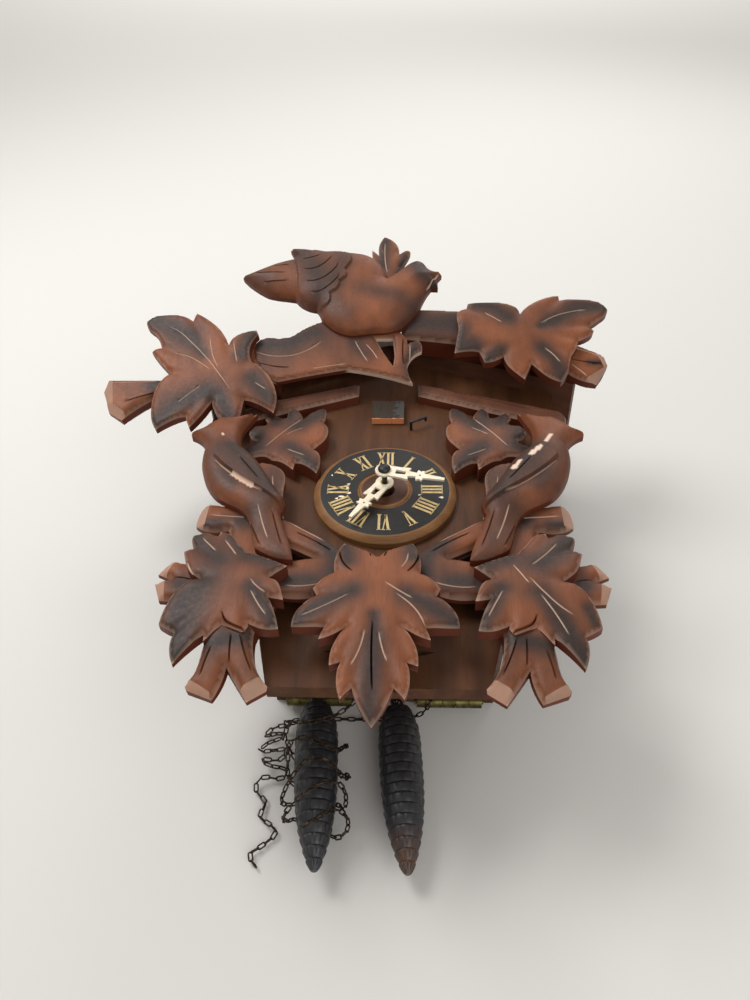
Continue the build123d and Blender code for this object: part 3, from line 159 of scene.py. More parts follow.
class Shader:
    """A material's node tree, with short ways to add and join nodes."""

    def __init__(self, name, roughness=0.5, metallic=0.0, sheen=0.5):
        self.material = bpy.data.materials.new(name)
        self.material.use_nodes = True
        self.tree = self.material.node_tree
        self.inputs = self.tree.nodes["Principled BSDF"].inputs
        self.inputs["Roughness"].default_value = roughness
        self.inputs["Metallic"].default_value = metallic
        self.inputs["Specular IOR Level"].default_value = sheen
        self.place = self.node("ShaderNodeTexCoord", {}).outputs["Object"]

    def feed(self, socket, value):
        """Link a socket or set it; a colour is given as display values."""
        if isinstance(value, bpy.types.NodeSocket):
            self.tree.links.new(value, socket)
        else:
            socket.default_value = srgb(value) if socket.type == "RGBA" else value

    def node(self, kind, inputs):
        """A node of a kind, its inputs given by name or number."""
        made = self.tree.nodes.new(kind)
        for socket, value in inputs.items():
            self.feed(made.inputs[socket], value)
        return made

    def noise(self, scale, detail, stretch=(1, 1, 1)):
        """Noise of a scale per millimetre, drawn out along the axes with small stretch values."""
        scales = [s * 1000 * scale for s in stretch]
        mapping = self.node("ShaderNodeMapping", {"Vector": self.place, "Scale": scales})
        made = self.node("ShaderNodeTexNoise", {"Vector": mapping.outputs[0], "Scale": 1.0, "Detail": detail})
        return made.outputs["Fac"]

    def attribute(self, name):
        made = self.node("ShaderNodeAttribute", {})
        made.attribute_name = name
        return made.outputs["Fac"]

    def axis(self, letter):
        """The coordinate of a place along one axis, in millimetres."""
        parts = self.node("ShaderNodeSeparateXYZ", {"Vector": self.place})
        return self.math("MULTIPLY", parts.outputs[letter], 1000.0)

    def ramp(self, value, low, high, start=0.0, end=1.0):
        """A value's range from low to high, brought to the range from start to end."""
        numbered = dict(enumerate((value, low, high, start, end)))
        return self.node("ShaderNodeMapRange", numbered).outputs[0]

    def math(self, kind, a, b):
        made = self.node("ShaderNodeMath", {0: a, 1: b})
        made.operation = kind
        return made.outputs[0]

    def mix(self, amount, a, b):
        made = self.node("ShaderNodeMix", {})
        made.data_type = "RGBA"
        for number, value in ((0, amount), (6, a), (7, b)):
            self.feed(made.inputs[number], value)
        return made.outputs[2]

    def blend(self, value, low, high, a, b, most=1.0):
        """Tone a turning to b, by at most so much, as a value goes from low to high."""
        return self.mix(self.ramp(value, low, high, 0.0, most), a, b)

    def done(self, tone, rough=None, bumps=None):
        """The finished material: tone, ramp of the roughness, and the bumps' height, strength and depth."""
        self.feed(self.inputs["Base Color"], tone)
        if rough:
            self.feed(self.inputs["Roughness"], self.ramp(*rough))
        if bumps:
            height, strength, depth = bumps
            inputs = {"Height": height, "Strength": strength, "Distance": depth * MM}
            made = self.node("ShaderNodeBump", inputs)
            self.feed(self.inputs["Normal"], made.outputs[0])
        return self.material


def wood_grain(shader, along):
    """Long fibres and slow streaks along one axis."""
    stretch = [0.06 if letter == along else 1.0 for letter in "XYZ"]
    return shader.noise(1.6, 6.0, stretch), shader.noise(0.12, 3.0, stretch)


def stained_wood(name, light, dark, along="Y", roughness=0.55):
    """Satin stained board: streaks between two tones, fine fibres in the bump, and slow light patches."""
    shader = Shader(name, sheen=0.2)
    fibres, streaks = wood_grain(shader, along)
    tone = shader.blend(streaks, 0.35, 0.65, light, dark)
    tone = shader.blend(fibres, 0.45, 0.75, tone, dark, 0.45)
    tone = shader.blend(shader.noise(0.03, 2.0), 0.4, 0.7, tone, light, 0.35)
    return shader.done(tone, (fibres, 0.3, 0.8, roughness - 0.08, roughness + 0.12), (fibres, 0.25, 0.2))


def carved_wood():
    """Carved limewood: brown stain in patches, airbrushed dark lobes with some painted shade, pale knife cuts
    with some painted highlights, red-brown sides.
    """
    shader = Shader("carved_wood", sheen=0.24)
    fibres, streaks = wood_grain(shader, "Y")
    speckle = shader.noise(0.5, 5.0)
    tone = shader.blend(streaks, 0.3, 0.7, (130, 76, 47), (105, 59, 37))
    tone = shader.blend(shader.noise(0.045, 3.0), 0.42, 0.66, tone, (148, 87, 54), 0.6)
    tone = shader.blend(fibres, 0.5, 0.8, tone, (84, 45, 28), 0.5)
    # Dark: airbrushed stain, with painted shade in grooves and in a few sprays
    spray = shader.math("MULTIPLY", shader.attribute("dark"), shader.ramp(speckle, 0.25, 0.6, 0.88, 1.0))
    tone = shader.mix(spray, tone, (45, 39, 37))
    tone = shader.mix(shader.attribute("side"), tone, (92, 42, 27))
    # Pale: bare knife cuts and chips, with painted highlight on rims and wing edges
    tone = shader.mix(shader.attribute("pale"), tone, (226, 196, 174))
    return shader.done(tone, (speckle, 0.2, 0.8, 0.4, 0.58), (fibres, 0.3, 0.2))


def metal(name, tones, roughness, metallic=1.0, spots=0.25):
    """Aged metal: a tarnished tone in patches, rougher where it is dull."""
    shader = Shader(name, roughness, metallic)
    patches = shader.noise(spots, 5.0)
    tone = shader.blend(patches, 0.35, 0.65, *tones)
    bumps = shader.noise(3.0, 3.0)
    return shader.done(tone, (patches, 0.3, 0.7, roughness - 0.1, roughness + 0.2), (bumps, 0.08, 0.1))


def door_finish():
    """The cuckoo's door: dark stain, greyed at its right, with a bare chipped lower edge."""
    shader = Shader("door_wood", 0.55, sheen=0.3)
    fibres = wood_grain(shader, "Y")[0]
    chips = shader.noise(0.35, 4.0)
    tone = shader.blend(fibres, 0.4, 0.7, (58, 47, 36), (42, 33, 26))
    across = shader.math("ADD", shader.axis("X"), shader.ramp(chips, 0.3, 0.7, -3.0, 3.0))
    tone = shader.blend(across, 5.0, 6.0, tone, (76, 77, 77), 0.6)
    height = shader.math("ADD", shader.axis("Y"), shader.ramp(chips, 0.3, 0.7, -0.5, 0.5))
    tone = shader.blend(height, 68.2, 67.9, tone, (206, 132, 88))
    return shader.done(tone, bumps=(fibres, 0.25, 0.2))


def arbor_metal():
    """The centre arbor: brass inside the case, dark steel where it carries the hands."""
    shader = Shader("arbor_metal", 0.4, 0.9)
    patches = shader.noise(0.25, 5.0)
    tone = shader.blend(patches, 0.35, 0.65, *BRASS)
    tone = shader.blend(shader.axis("Z"), FRONT - 1, FRONT, tone, (58, 57, 56))
    return shader.done(tone, (patches, 0.3, 0.7, 0.3, 0.55))


def dial_finish():
    """The dial: turned wood, black from the inner to the outer ring, by distance from the hands' axis."""
    shader = Shader("dial_paint", sheen=0.25)
    flat = shader.node("ShaderNodeVectorMath", {0: shader.place, 1: (1000, 1000, 0)})
    flat.operation = "MULTIPLY"
    length = shader.node("ShaderNodeVectorMath", {0: flat.outputs[0]})
    length.operation = "LENGTH"
    radius = length.outputs["Value"]
    fibres, streaks = wood_grain(shader, "X")
    wood = shader.blend(streaks, 0.3, 0.7, (140, 98, 58), (114, 78, 46))
    wood = shader.blend(fibres, 0.5, 0.8, wood, (72, 46, 28), 0.5)
    centre = shader.blend(radius, 12.5, 13.1, (78, 47, 32), wood)
    ring = shader.math("MULTIPLY", shader.ramp(radius, 15.4, 15.7), shader.ramp(radius, 36.2, 35.9))
    dust = shader.noise(0.35, 5.0)
    black = shader.blend(dust, 0.4, 0.75, (33, 32, 31), (52, 50, 47), 0.5)
    return shader.done(shader.mix(ring, centre, black), (dust, 0.3, 0.7, 0.4, 0.6), (fibres, 0.15, 0.15))


def plain_finish(name, light, dark, roughness, scale=0.3):
    """A paint, plastic or cloth with slow patches, fine speckle and an uneven sheen."""
    shader = Shader(name, roughness)
    patches = shader.noise(scale, 5.0)
    tone = shader.blend(patches, 0.35, 0.7, light, dark)
    bumps = shader.noise(2.5, 3.0)
    return shader.done(tone, (patches, 0.3, 0.7, roughness - 0.07, roughness + 0.1), (bumps, 0.1, 0.1))


def cone_iron():
    """Dark painted iron, lighter on the scales' ridges, rusty towards the tip where the attribute says so."""
    shader = Shader("cone_iron", 0.5)
    patches = shader.noise(0.3, 6.0)
    tone = shader.blend(patches, 0.35, 0.7, (46, 45, 47), (30, 29, 30))
    tone = shader.mix(shader.attribute("pale"), tone, (76, 74, 77))
    rust = shader.math("MULTIPLY", shader.attribute("rust"), shader.ramp(patches, 0.3, 0.55))
    tone = shader.mix(rust, tone, (92, 58, 36))
    return shader.done(tone, (patches, 0.3, 0.7, 0.28, 0.5), (shader.noise(2.0, 4.0), 0.25, 0.2))


LOOKS = {
    "case": stained_wood("case_wood", (92, 57, 34), (70, 43, 26)),
    "roof": stained_wood("roof_wood", (92, 57, 40), (70, 43, 30), "X"),
    "back": stained_wood("back_wood", (126, 92, 62), (98, 70, 46)),
    "pale": stained_wood("pale_wood", (196, 160, 112), (168, 130, 86), "Y", 0.62),
    "door": door_finish(),
    "arbor": arbor_metal(),
    "carved": carved_wood(),
    "dial": dial_finish(),
    "gold": plain_finish("numeral_paint", (206, 180, 124), (176, 148, 96), 0.5, 0.6),
    "ivory": plain_finish("hand_ivory", (240, 229, 205), (222, 206, 176), 0.4),
    "brass": metal("brass", BRASS, 0.38),
    "hinge": metal("hinge_brass", ((128, 118, 74), (82, 76, 46)), 0.45),
    "steel": metal("steel", ((150, 150, 150), (100, 98, 96)), 0.36),
    "dark_steel": metal("dark_steel", ((66, 66, 66), (46, 45, 44)), 0.42, 0.8),
    "iron": cone_iron(),
    "chain": metal("chain_metal", ((86, 72, 58), (42, 34, 28)), 0.45, 0.9, 0.8),
    "cloth": plain_finish("bellows_cloth", (86, 72, 60), (66, 55, 46), 0.85, 1.0),
    "bird": plain_finish("cuckoo_paint", (108, 94, 70), (78, 66, 50), 0.5),
}
NODE_LOOKS = {
    "case": "front_panel side_panel_left side_panel_right bottom_board",
    "roof": "roof_board_left roof_board_right",
    "back": "back_rail back_door",
    "door": "cuckoo_door",
    "pale": "whistle_boxes bellows_lid_left bellows_lid_right",
    "ivory": "hour_hand minute_hand",
    "hinge": "hinge_board_leaves hinge_door_leaves",
    "bird": "cuckoo",
    "arbor": "centre_arbor",
    "steel": "movement_pillars movement_screws anchor pendulum_leader gong_hammer",
    "dark_steel": "gong door_latch",
}


def finish_nodes():
    """Every CAD node that stays gets its look; those not named above are brass."""
    looks = {name: look for look, names in NODE_LOOKS.items() for name in names.split()}
    for name, node in nodes.items():
        node.data.materials.clear()
        node.data.materials.append(LOOKS[looks.get(name, "brass")])


# Meshes


def add_object(name, data):
    """An object in the scene, from its mesh, curve, lamp or camera."""
    made = bpy.data.objects.new(name, data)
    bpy.context.scene.collection.objects.link(made)
    return made


def add_piece(name, points, faces, look, body, replaced=(), place=FLAT, tones=None):
    """A mesh from points in millimetres, riding on a body, with per-point tones for its material."""
    mesh = bpy.data.meshes.new(name)
    flip = place.determinant() < 0
    mesh.from_pydata([tuple(p) for p in points], [], [f[::-1] if flip else f for f in faces])
    mesh.transform(Matrix.Scale(MM, 4) @ place)
    for tone, values in (tones or {}).items():
        layer = mesh.attributes.new(tone, "FLOAT", "POINT")
        layer.data.foreach_set("value", np.asarray(values, np.float32))
    mesh.validate()
    mesh.shade_smooth()
    mesh.set_sharp_from_angle(angle=SHARP_ANGLE)
    mesh.materials.append(LOOKS[look])
    made = add_object(name, mesh)
    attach(made, body)
    if replaced:
        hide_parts(*replaced)
    return made


def ring_faces(rings, parts, closed=False):
    """Faces between rings of points in turn: closed from last to first, or else capped at both ends."""
    total = rings * parts
    faces = []
    for i in range(rings if closed else rings - 1):
        for k in range(parts):
            a, b = i * parts + k, i * parts + (k + 1) % parts
            faces.append([a, b, (b + parts) % total, (a + parts) % total])
    if not closed:
        faces += [list(range(parts))[::-1], list(range(total - parts, total))]
    return faces


def join(points, faces, more_points, more_faces):
    """Add one mesh's points and faces to another's."""
    faces += [[v + len(points) for v in f] for f in more_faces]
    points += more_points


def smoothstep(value, low, high):
    t = np.clip((value - low) / (high - low), 0, 1)
    return t * t * (3 - 2 * t)


def evenly(value):
    """A field with the same value at every point."""
    return lambda x, y: np.full(np.shape(x), value)


def segment_distance(x, y, line):
    """Distance from points to a polyline, and how far along it the nearest place is, from 0 to 1."""
    line = np.asarray(line, float)
    steps = np.hypot(*np.diff(line, axis=0).T)
    total = steps.sum()
    best = np.full(x.shape, 1e9)
    along = np.zeros(x.shape)
    done = 0.0
    for (ax, ay), (bx, by), length in zip(line, line[1:], steps):
        if length < 1e-9:
            continue
        t = np.clip(((x - ax) * (bx - ax) + (y - ay) * (by - ay)) / length ** 2, 0, 1)
        d = np.hypot(x - ax - t * (bx - ax), y - ay - t * (by - ay))
        nearer = d < best
        best = np.where(nearer, d, best)
        along = np.where(nearer, (done + t * length) / total, along)
        done += length
    return best, along


def inside(x, y, outline):
    """Which points lie inside a closed outline."""
    found = np.zeros(x.shape, bool)
    for (ax, ay), (bx, by) in zip(outline, np.roll(outline, -1, axis=0)):
        if ay == by:
            continue
        crosses = (ay > y) != (by > y)
        found ^= crosses & (x < (bx - ax) * (y - ay) / (by - ay) + ax)
    return found


def within(x, y, loops):
    """Which points lie inside the first loop and outside all others."""
    found = inside(x, y, loops[0])
    for hole in loops[1:]:
        found &= ~inside(x, y, hole)
    return found


def resample(line, step):
    """Points along a polyline about a step apart, keeping its corners."""
    out = [line[0]]
    for a, b in zip(line, line[1:]):
        count = max(1, round(math.dist(a, b) / step))
        out += [tuple(np.array(a) + (np.array(b) - a) * k / count) for k in range(1, count + 1)]
    return out


def smooth_line(points):
    """A smooth curve through points, with tangents weighted by the distances between them."""
    p = np.array(points, float)
    if len(p) == 2:
        return resample([tuple(q) for q in p], GRID)
    gaps = np.hypot(*np.diff(p, axis=0).T)
    slopes = np.diff(p, axis=0) / gaps[:, None]
    inner = slopes[:-1] * gaps[1:, None] + slopes[1:] * gaps[:-1, None]
    inner /= (gaps[:-1] + gaps[1:])[:, None]
    tangents = np.vstack([2 * slopes[0] - inner[0], inner, 2 * slopes[-1] - inner[-1]])
    out = []
    for a, b, ta, tb, gap in zip(p, p[1:], tangents, tangents[1:], gaps):
        for t in np.linspace(0, 1, max(2, round(gap / GRID)), endpoint=False):
            from_a = a * (2 * t ** 3 - 3 * t ** 2 + 1) + ta * gap * (t ** 3 - 2 * t ** 2 + t)
            out.append(tuple(from_a + b * (3 * t ** 2 - 2 * t ** 3) + tb * gap * (t ** 3 - t ** 2)))
    return out + [tuple(p[-1])]


def shifted(line, side):
    """A line moved sideways by a distance."""
    p = np.array(line, float)
    ahead = np.gradient(p, axis=0)
    ahead /= np.maximum(np.hypot(*ahead.T), 1e-9)[:, None]
    return [tuple(q) for q in p + np.column_stack([-ahead[:, 1], ahead[:, 0]]) * side]


def flat_mesh(outline, lines, holes, step):
    """Points and triangles that fill an outline evenly, with edges along the given lines."""
    loops = [np.array(loop, float) for loop in (outline, *holes)]
    cuts = [np.array(resample(list(map(tuple, line)), step * 0.8), float) for line in lines]
    low, high = loops[0].min(0), loops[0].max(0)
    rows = np.arange(low[1], high[1], step * 0.866)
    grid = np.array([(x, y) for i, y in enumerate(rows)
                     for x in np.arange(low[0] + (i % 2) * step / 2, high[0], step)])
    x, y = grid.T
    keep = within(x, y, loops)
    points, edges = [], []
    for number, line in enumerate(loops + cuts):
        first, count = len(points), len(line)
        closed = number < len(loops)
        path = np.vstack([line, line[:1]]) if closed else line
        keep &= segment_distance(x, y, path)[0] > (0.55 if closed else 0.5) * step
        points += [tuple(p) for p in line]
        edges += [(first + k, first + (k + 1) % count) for k in range(count if closed else count - 1)]
    points += [tuple(p) for p in grid[keep]]
    found, _, faces = delaunay_2d_cdt([Vector(p) for p in points], edges, [], 0, 1e-4)[:3]
    flat = np.array([tuple(p) for p in found])
    middle = np.array([flat[f].mean(0) for f in faces])
    kept = []
    for f, good in zip(faces, within(*middle.T, loops)):
        if good:
            a, b, c = flat[f]
            turn = (b[0] - a[0]) * (c[1] - a[1]) - (b[1] - a[1]) * (c[0] - a[0])
            kept.append(list(f) if turn > 0 else list(f)[::-1])
    return flat, kept


def rim_edges(faces):
    """Edges that only one face uses, in that face's order."""
    seen = {}
    for f in faces:
        for a, b in zip(f, f[1:] + f[:1]):
            if (b, a) in seen:
                del seen[(b, a)]
            else:
                seen[(a, b)] = True
    return list(seen)


def outline_of(strokes):
    """One closed outline from strokes, each starting at a corner and running smoothly to the next."""
    out = []
    for stroke, following in zip(strokes, strokes[1:] + strokes[:1]):
        out += smooth_line(stroke + following[:1])[:-1]
    return out


def spray_and_shade_tone(x, y, sprays_and_shade):
    """How dark each point is left by the airbrush and by painted shade: a spray is a radius, a line and, if
    light, its strength.
    """
    clear = np.ones(x.shape)
    for radius, line, *strength in sprays_and_shade:
        near = segment_distance(x, y, line)[0]
        clear = clear * (1 - (strength or [0.96])[0] * np.exp(-1.1 * (near / radius) ** 2))
    return 1 - clear


def cut_lines(cuts):
    """Mesh lines for knife cuts: each cut and a line on each side of it."""
    return [shifted(line, side * CUT_HALF) for line in cuts for side in (-1, 0, 1)]


def cut_reach(x, y, line):
    """How far into a cut each point lies: 0 at its edges, 1 along its middle, running out at its ends."""
    near, along = segment_distance(x, y, line)
    return np.clip(1 - near / CUT_HALF, 0, 1) * np.minimum(1, np.minimum(along, 1 - along) * 5)


def deepest(x, y, cuts):
    """The furthest reach into any of the cuts."""
    return np.max([np.zeros(x.shape)] + [cut_reach(x, y, line) for line in cuts], axis=0)


def facing(angle):
    """The direction of an angle in degrees."""
    return math.cos(math.radians(angle)), math.sin(math.radians(angle))


def beyond(x, y, facet):
    """How far each point lies beyond a knife-cut facet's edge, or below zero where the cut doesn't reach."""
    (fx, fy), angle, slope = facet
    c, s = facing(angle)
    return np.where(np.hypot(x - fx, y - fy) < FACET_REACH, (x - fx) * c + (y - fy) * s, -1)


def facet_edges(facets, outline):
    """Mesh lines on both sides of each facet's edge, as far as they lie on the piece."""
    lines = []
    for (fx, fy), angle, slope in facets:
        c, s = facing(angle)
        t = np.arange(-FACET_REACH, FACET_REACH, GRID / 2)
        for ahead in (-0.2, 0.2):
            x, y = fx + c * ahead - s * t, fy + s * ahead + c * t
            on = inside(x, y, np.array(outline))
            if on.sum() > 1:
                lines.append(list(zip(x[on], y[on])))
    return lines


def relief(name, strokes, surface, floor, sprays_and_shade, cuts, grooves, style, replaced, place, undercut, lines=(),
           holes=(), facets=(), chips=(), step=GRID, bare=evenly(0.0)):
    """A carved piece: a front at height surface(x, y, d) with knife cuts, grooves darkened with painted
    shade, and facets, straight sides, and a back at floor that is undercut(x, y) towards the edges. d is the
    distance to the nearest edge, and bare(x, y) tells where the sides are bare wood. A facet is a knife-cut
    end: a place, the way the cut faces, and how it falls away. A chip is a line of bare wood or of painted
    highlight, and its half width."""
    cut_depth, groove_depth, cut_tone, groove_shade, rim_highlight_tone = style
    outline = outline_of(strokes)
    cuts = [smooth_line(line) for line in cuts]
    grooves = [smooth_line(line) for line in grooves]
    lines = [*cut_lines(cuts + grooves), *facet_edges(facets, outline), *lines]
    flat, faces = flat_mesh(outline, lines, holes, step)
    x, y = flat.T
    d = np.min([segment_distance(x, y, [*loop, loop[0]])[0] for loop in (outline, *holes)], axis=0)
    cut = deepest(x, y, cuts)
    groove = deepest(x, y, grooves)
    z = surface(x, y, d) - cut_depth * cut - groove_depth * groove
    dark = spray_and_shade_tone(x, y, sprays_and_shade)
    # Pale along knife cuts, and a painted highlight along the rounded rim
    pale = np.maximum(cut_tone * cut, rim_highlight_tone * np.clip(1 - d / RIM_HIGHLIGHT_REACH, 0, 1))
    for facet in facets:
        (fx, fy), angle, slope = facet
        ahead = beyond(x, y, facet)
        fall = surface(fx, fy, np.inf) - FACET_DROP - slope * ahead
        z = np.where(ahead > 0, np.minimum(z, fall), z)
        dark = np.where(ahead > 0, 0, dark)
        pale = np.where(ahead > 0, np.maximum(pale, FACET_TONE), pale)
    # Chips are bare wood, and on the left bird painted highlights
    for line, half in chips:
        pale = np.maximum(pale, segment_distance(x, y, line)[0] < half)
    behind = floor + undercut(x, y) * (1 - smoothstep(d, 0, UNDERCUT_REACH))
    front = np.column_stack([x, y, np.maximum(z, behind + LEAST_THICK)])
    back = np.column_stack([x, y, behind])
    # Grooves and slits are darkened with painted shade
    add_relief(name, front, back, faces, np.maximum(dark, groove_shade * groove), pale, bare, replaced, place)


def add_relief(name, front, back, faces, dark, pale, bare, replaced, place):
    """The closed mesh between a front and a back with the same faces, and its tones."""
    count = len(front)
    rim = rim_edges(faces)
    ring = sorted({i for edge in rim for i in edge})
    upper = {v: count + k for k, v in enumerate(ring)}
    lower = {v: count + len(ring) + k for k, v in enumerate(ring)}
    first_back = count + 2 * len(ring)
    points = np.vstack([front, front[ring], back[ring], back])
    sides = [[upper[b], upper[a], lower[a], lower[b]] for a, b in rim]
    backs = [[first_back + v for v in f[::-1]] for f in faces]
    worn = bare(*front[ring, :2].T)
    rest = len(points) - count
    tones = {"dark": np.r_[dark, np.zeros(rest)], "pale": np.r_[pale, worn, worn, np.zeros(count)],
             "side": np.r_[np.zeros(count), np.ones(rest) * SIDE_TONE]}
    add_piece(name, points, faces + sides + backs, "carved", "case", replaced, place, tones)


def round_over(d, radius):
    """How far a rounded edge drops at a distance from the outline."""
    inner = np.clip(1 - d / radius, 0, 1)
    return radius * (1 - np.sqrt(1 - inner ** 2))


def stands_for_both(node, side):
    """A node that holds both sides is replaced by the right-hand piece."""
    return [node] if side == "right" else ()


# Leaves


def notches(corners, centre):
    """The corners that lie nearer to the centre than the mean of their two neighbours."""
    away = [math.dist(p, centre) for p in corners]
    return [p for i, p in enumerate(corners) if away[i] < (away[i - 1] + away[(i + 1) % len(away)]) / 2]


def leaf(name, strokes, sprays_and_shade, cuts, centre, floor, top, replaced, place, droop=4.0, span=45.0, slits=(),
         edge=5.0):
    """A lobed leaf: hollowed lobes falling to their tips, airbrushed, with knife cuts and slits darkened with
    painted shade.
    Its rim is about an edge thick."""
    valleys = [[p, tuple(np.array(p) * 0.55 + np.array(centre) * 0.45)]
               for p in notches([stroke[0] for stroke in strokes], centre)]

    def surface(x, y, d):
        away = np.hypot(x - centre[0], y - centre[1]) / span
        z = top - droop * np.clip(away, 0, 1.3) ** 2 - round_over(d, LEAF_ROUND) * 0.55
        z -= 0.6 * spray_and_shade_tone(x, y, sprays_and_shade) * smoothstep(d, 0, 5)
        for line in valleys:
            near, along = segment_distance(x, y, line)
            z -= VALLEY_DEPTH * np.exp(-(near / VALLEY_HALF) ** 2) * (1 - along)
        return z

    hollow = evenly(max(0.0, top - droop - edge - 2 - floor))
    relief(name, strokes, surface, floor, sprays_and_shade, cuts, slits, LEAF_STYLE, replaced, place, hollow)


LOWER_LEAF = [
    [(96, -51), (90, -49), (85, -50)], [(83, -51)], [(82, -48), (76, -51), (71, -58)],
    [(66, -64), (56, -68)], [(45, -73), (49, -77)], [(53, -80), (48, -84), (46, -89)],
    [(44.5, -94), (48, -93.5)], [(52, -92), (49, -98)], [(45, -110), (52, -110.5)],
    [(59, -107), (59, -110)], [(61, -112.5), (67, -110)], [(71, -108)], [(78, -117)],
    [(78.5, -113), (83, -118)], [(90, -128), (93, -119)], [(92.5, -111.5), (96, -110)],
    [(100.5, -107), (99, -96), (93, -84)], [(86, -81), (93, -75), (96.5, -67)], [(98, -62)],
    [(93.5, -59.5), (95.5, -55)]]
LOWER_RIGHT_SPRAYS = [
    (9, [(94, -52), (82, -66), (75, -72)]), (7, [(50, -73), (62, -69)]),
    (7.5, [(89, -125), (84, -109), (74, -90)]), (7, [(44, -111), (50, -100), (57, -88)]),
    (4, [(95, -98), (97, -106)]), (7, [(82, -106), (87, -122)], 0.7), (14, [(64, -66), (80, -76)], 0.3)]
LOWER_RIGHT_CUTS = [
    [(70, -81), (76, -89.5), (82, -97), (88, -102)], [(63, -73), (67, -80), (69.5, -85)],
    [(74, -91), (79.5, -101), (84.5, -113)], [(57, -89), (53, -97), (49.5, -104)],
    [(86, -57), (79, -66), (72, -73)]]
LOWER_LEFT_SPRAYS = [
    (9, [(95, -52), (86, -63), (78, -70)]), (8, [(74, -54), (64, -67), (52, -73)]),
    (13, [(83, -85), (92, -97), (92, -110), (91, -122)]), (7, [(60, -88), (52, -100), (46, -110)]),
    (8, [(84, -100), (88, -120)], 0.7)]
LOWER_LEFT_CUTS = [
    [(90, -54), (85.5, -59), (81, -64.5)], [(78, -56), (74, -62), (70, -68)],
    [(61, -83), (57.5, -87.5), (53, -90.5)], [(60, -90), (56, -97), (51, -104)],
    [(94, -71), (91, -77), (87, -82)]]
LOWER_SLITS = [[(71.5, -102), (69, -107), (63, -110.5), (58, -112)], [(69.5, -109), (73, -113), (77, -117)]]
LOWER_PAINT = {"right": (LOWER_RIGHT_SPRAYS, LOWER_RIGHT_CUTS), "left": (LOWER_LEFT_SPRAYS, LOWER_LEFT_CUTS)}
CENTRE_SIDE = [
    [(9, -139)], [(13.6, -144.6), (15.7, -137), (15.5, -131)], [(14.5, -126.7)],
    [(19.3, -129), (18.8, -121), (16, -114)], [(13, -109), (18, -113)], [(25, -115.7)],
    [(23, -108.6), (29, -109)], [(38, -108.4), (37, -101), (33, -95)], [(28, -90.3)],
    [(30, -86.7), (26, -81)], [(20.5, -76.5), (20.5, -66)], [(17, -57), (8, -61)]]
CENTRE_SPRAYS = [
    (4, [(-0.5, -104), (0, -114)]), (8, [(0, -119), (-1, -136), (-1, -155)]),
    (8, [(14, -92), (23, -97), (36, -106)]), (7, [(-11, -90), (-24, -97), (-36, -106)]),
    (6, [(17, -58), (17, -68)]), (6, [(-16, -58), (-14, -71)])]
CENTRE_CUTS = [
    [(2, -113), (3.5, -121), (6, -128)], [(-4.5, -112), (-6.5, -122), (-10, -130)],
    [(4, -85), (11, -90), (17, -94)], [(9, -91.5), (16, -97.5), (20, -103), (22.5, -109)],
    [(-13, -92), (-24, -98.5), (-34, -103.5)], [(14.5, -65), (14, -70), (11, -75.5)]]
CENTRE_SLITS = [
    [(19.5, -61), (19, -70), (14, -78)], [(-18.5, -64), (-17, -71), (-11.5, -78)], [(-5, -63), (-3, -68)],
    [(5, -63), (3, -68)], [(-1, -107), (-1, -124), (0, -142)]]
UPPER_LEAF = [
    [(39.5, 11.5), (38, 19), (39.5, 28)], [(43, 32.5), (38, 38), (35.5, 46), (36.5, 54)],
    [(39, 58), (38, 65), (40, 74)], [(46, 70), (50, 64)], [(52, 61), (54, 67), (57.5, 71.5)],
    [(62, 68), (63, 61)], [(68, 65), (73, 66)], [(75, 60), (73, 55)], [(80, 53), (83, 47)],
    [(80, 41), (77, 38)], [(82, 34), (85, 26)], [(78, 23), (70, 24)], [(66, 22), (60, 19)], [(53, 13.5)],
    [(52.5, 20), (46, 17)]]
UPPER_SPRAYS = [
    (8, [(41, 14), (48, 24), (56, 31)]), (9, [(40, 72), (46, 61), (55, 51)]),
    (10, [(85, 27), (76, 32), (79, 46)]), (6, [(58, 71), (60, 60)]), (6, [(72, 66), (68, 54)])]
UPPER_CUTS = [
    [(71, 31), (64.5, 41), (58, 51), (52, 61)], [(50.5, 49.5), (55, 46.5), (60, 42)],
    [(58, 29), (53, 27), (47, 24)]]
CROWN_LEAF_LEFT = [
    [(-159, 37), (-157, 31), (-150, 24)], [(-145.5, 14.5), (-149, 13)],
    [(-151, 10.5), (-147, 5), (-141, -2)], [(-137, -6.5), (-142, -13), (-145, -31), (-143.5, -41)],
    [(-140, -48), (-131, -42)], [(-123, -38.5)], [(-119.5, -47), (-114, -40)],
    [(-107.5, -28), (-104, -37), (-97, -43)], [(-90.5, -46.5), (-88.5, -35)], [(-88, -27), (-76, -32)],
    [(-69, -36.5), (-68, -25), (-73, -11)], [(-86, 2), (-88, 10)], [(-83.5, 23.5)],
    [(-85, 27), (-93, 25), (-99, 21)], [(-102, 15.7), (-109, 28), (-117, 36)], [(-126, 42.5)],
    [(-128, 36.5), (-137, 41), (-147, 42), (-154, 41)]]
CROWN_LEFT_SPRAYS = [
    (12, [(-156, 38), (-142, 31), (-128, 21)]), (5, [(-128, 21), (-116, 6)]), (8, [(-88, 24), (-92, 6)]),
    (8, [(-84, -12), (-72, -27)]), (7, [(-103, -25), (-95, -41)]),
    (10, [(-112, -22), (-128, -30), (-140, -43)])]
CROWN_LEFT_CUTS = [
    [(-143, 30.5), (-135, 26), (-126, 17), (-114.5, 4), (-104.5, -9.5), (-96.5, -21)],
    [(-135.5, 8), (-126, 5), (-118, 0), (-111, -6)], [(-114, 19.5), (-112.7, 13), (-110, 4), (-106, -4)],
    [(-98.6, 17), (-96.4, 7), (-94.5, 0)], [(-115.5, -18), (-122.7, -24), (-128, -29.5)],
    [(-82, -15), (-78, -18), (-75, -20)]]
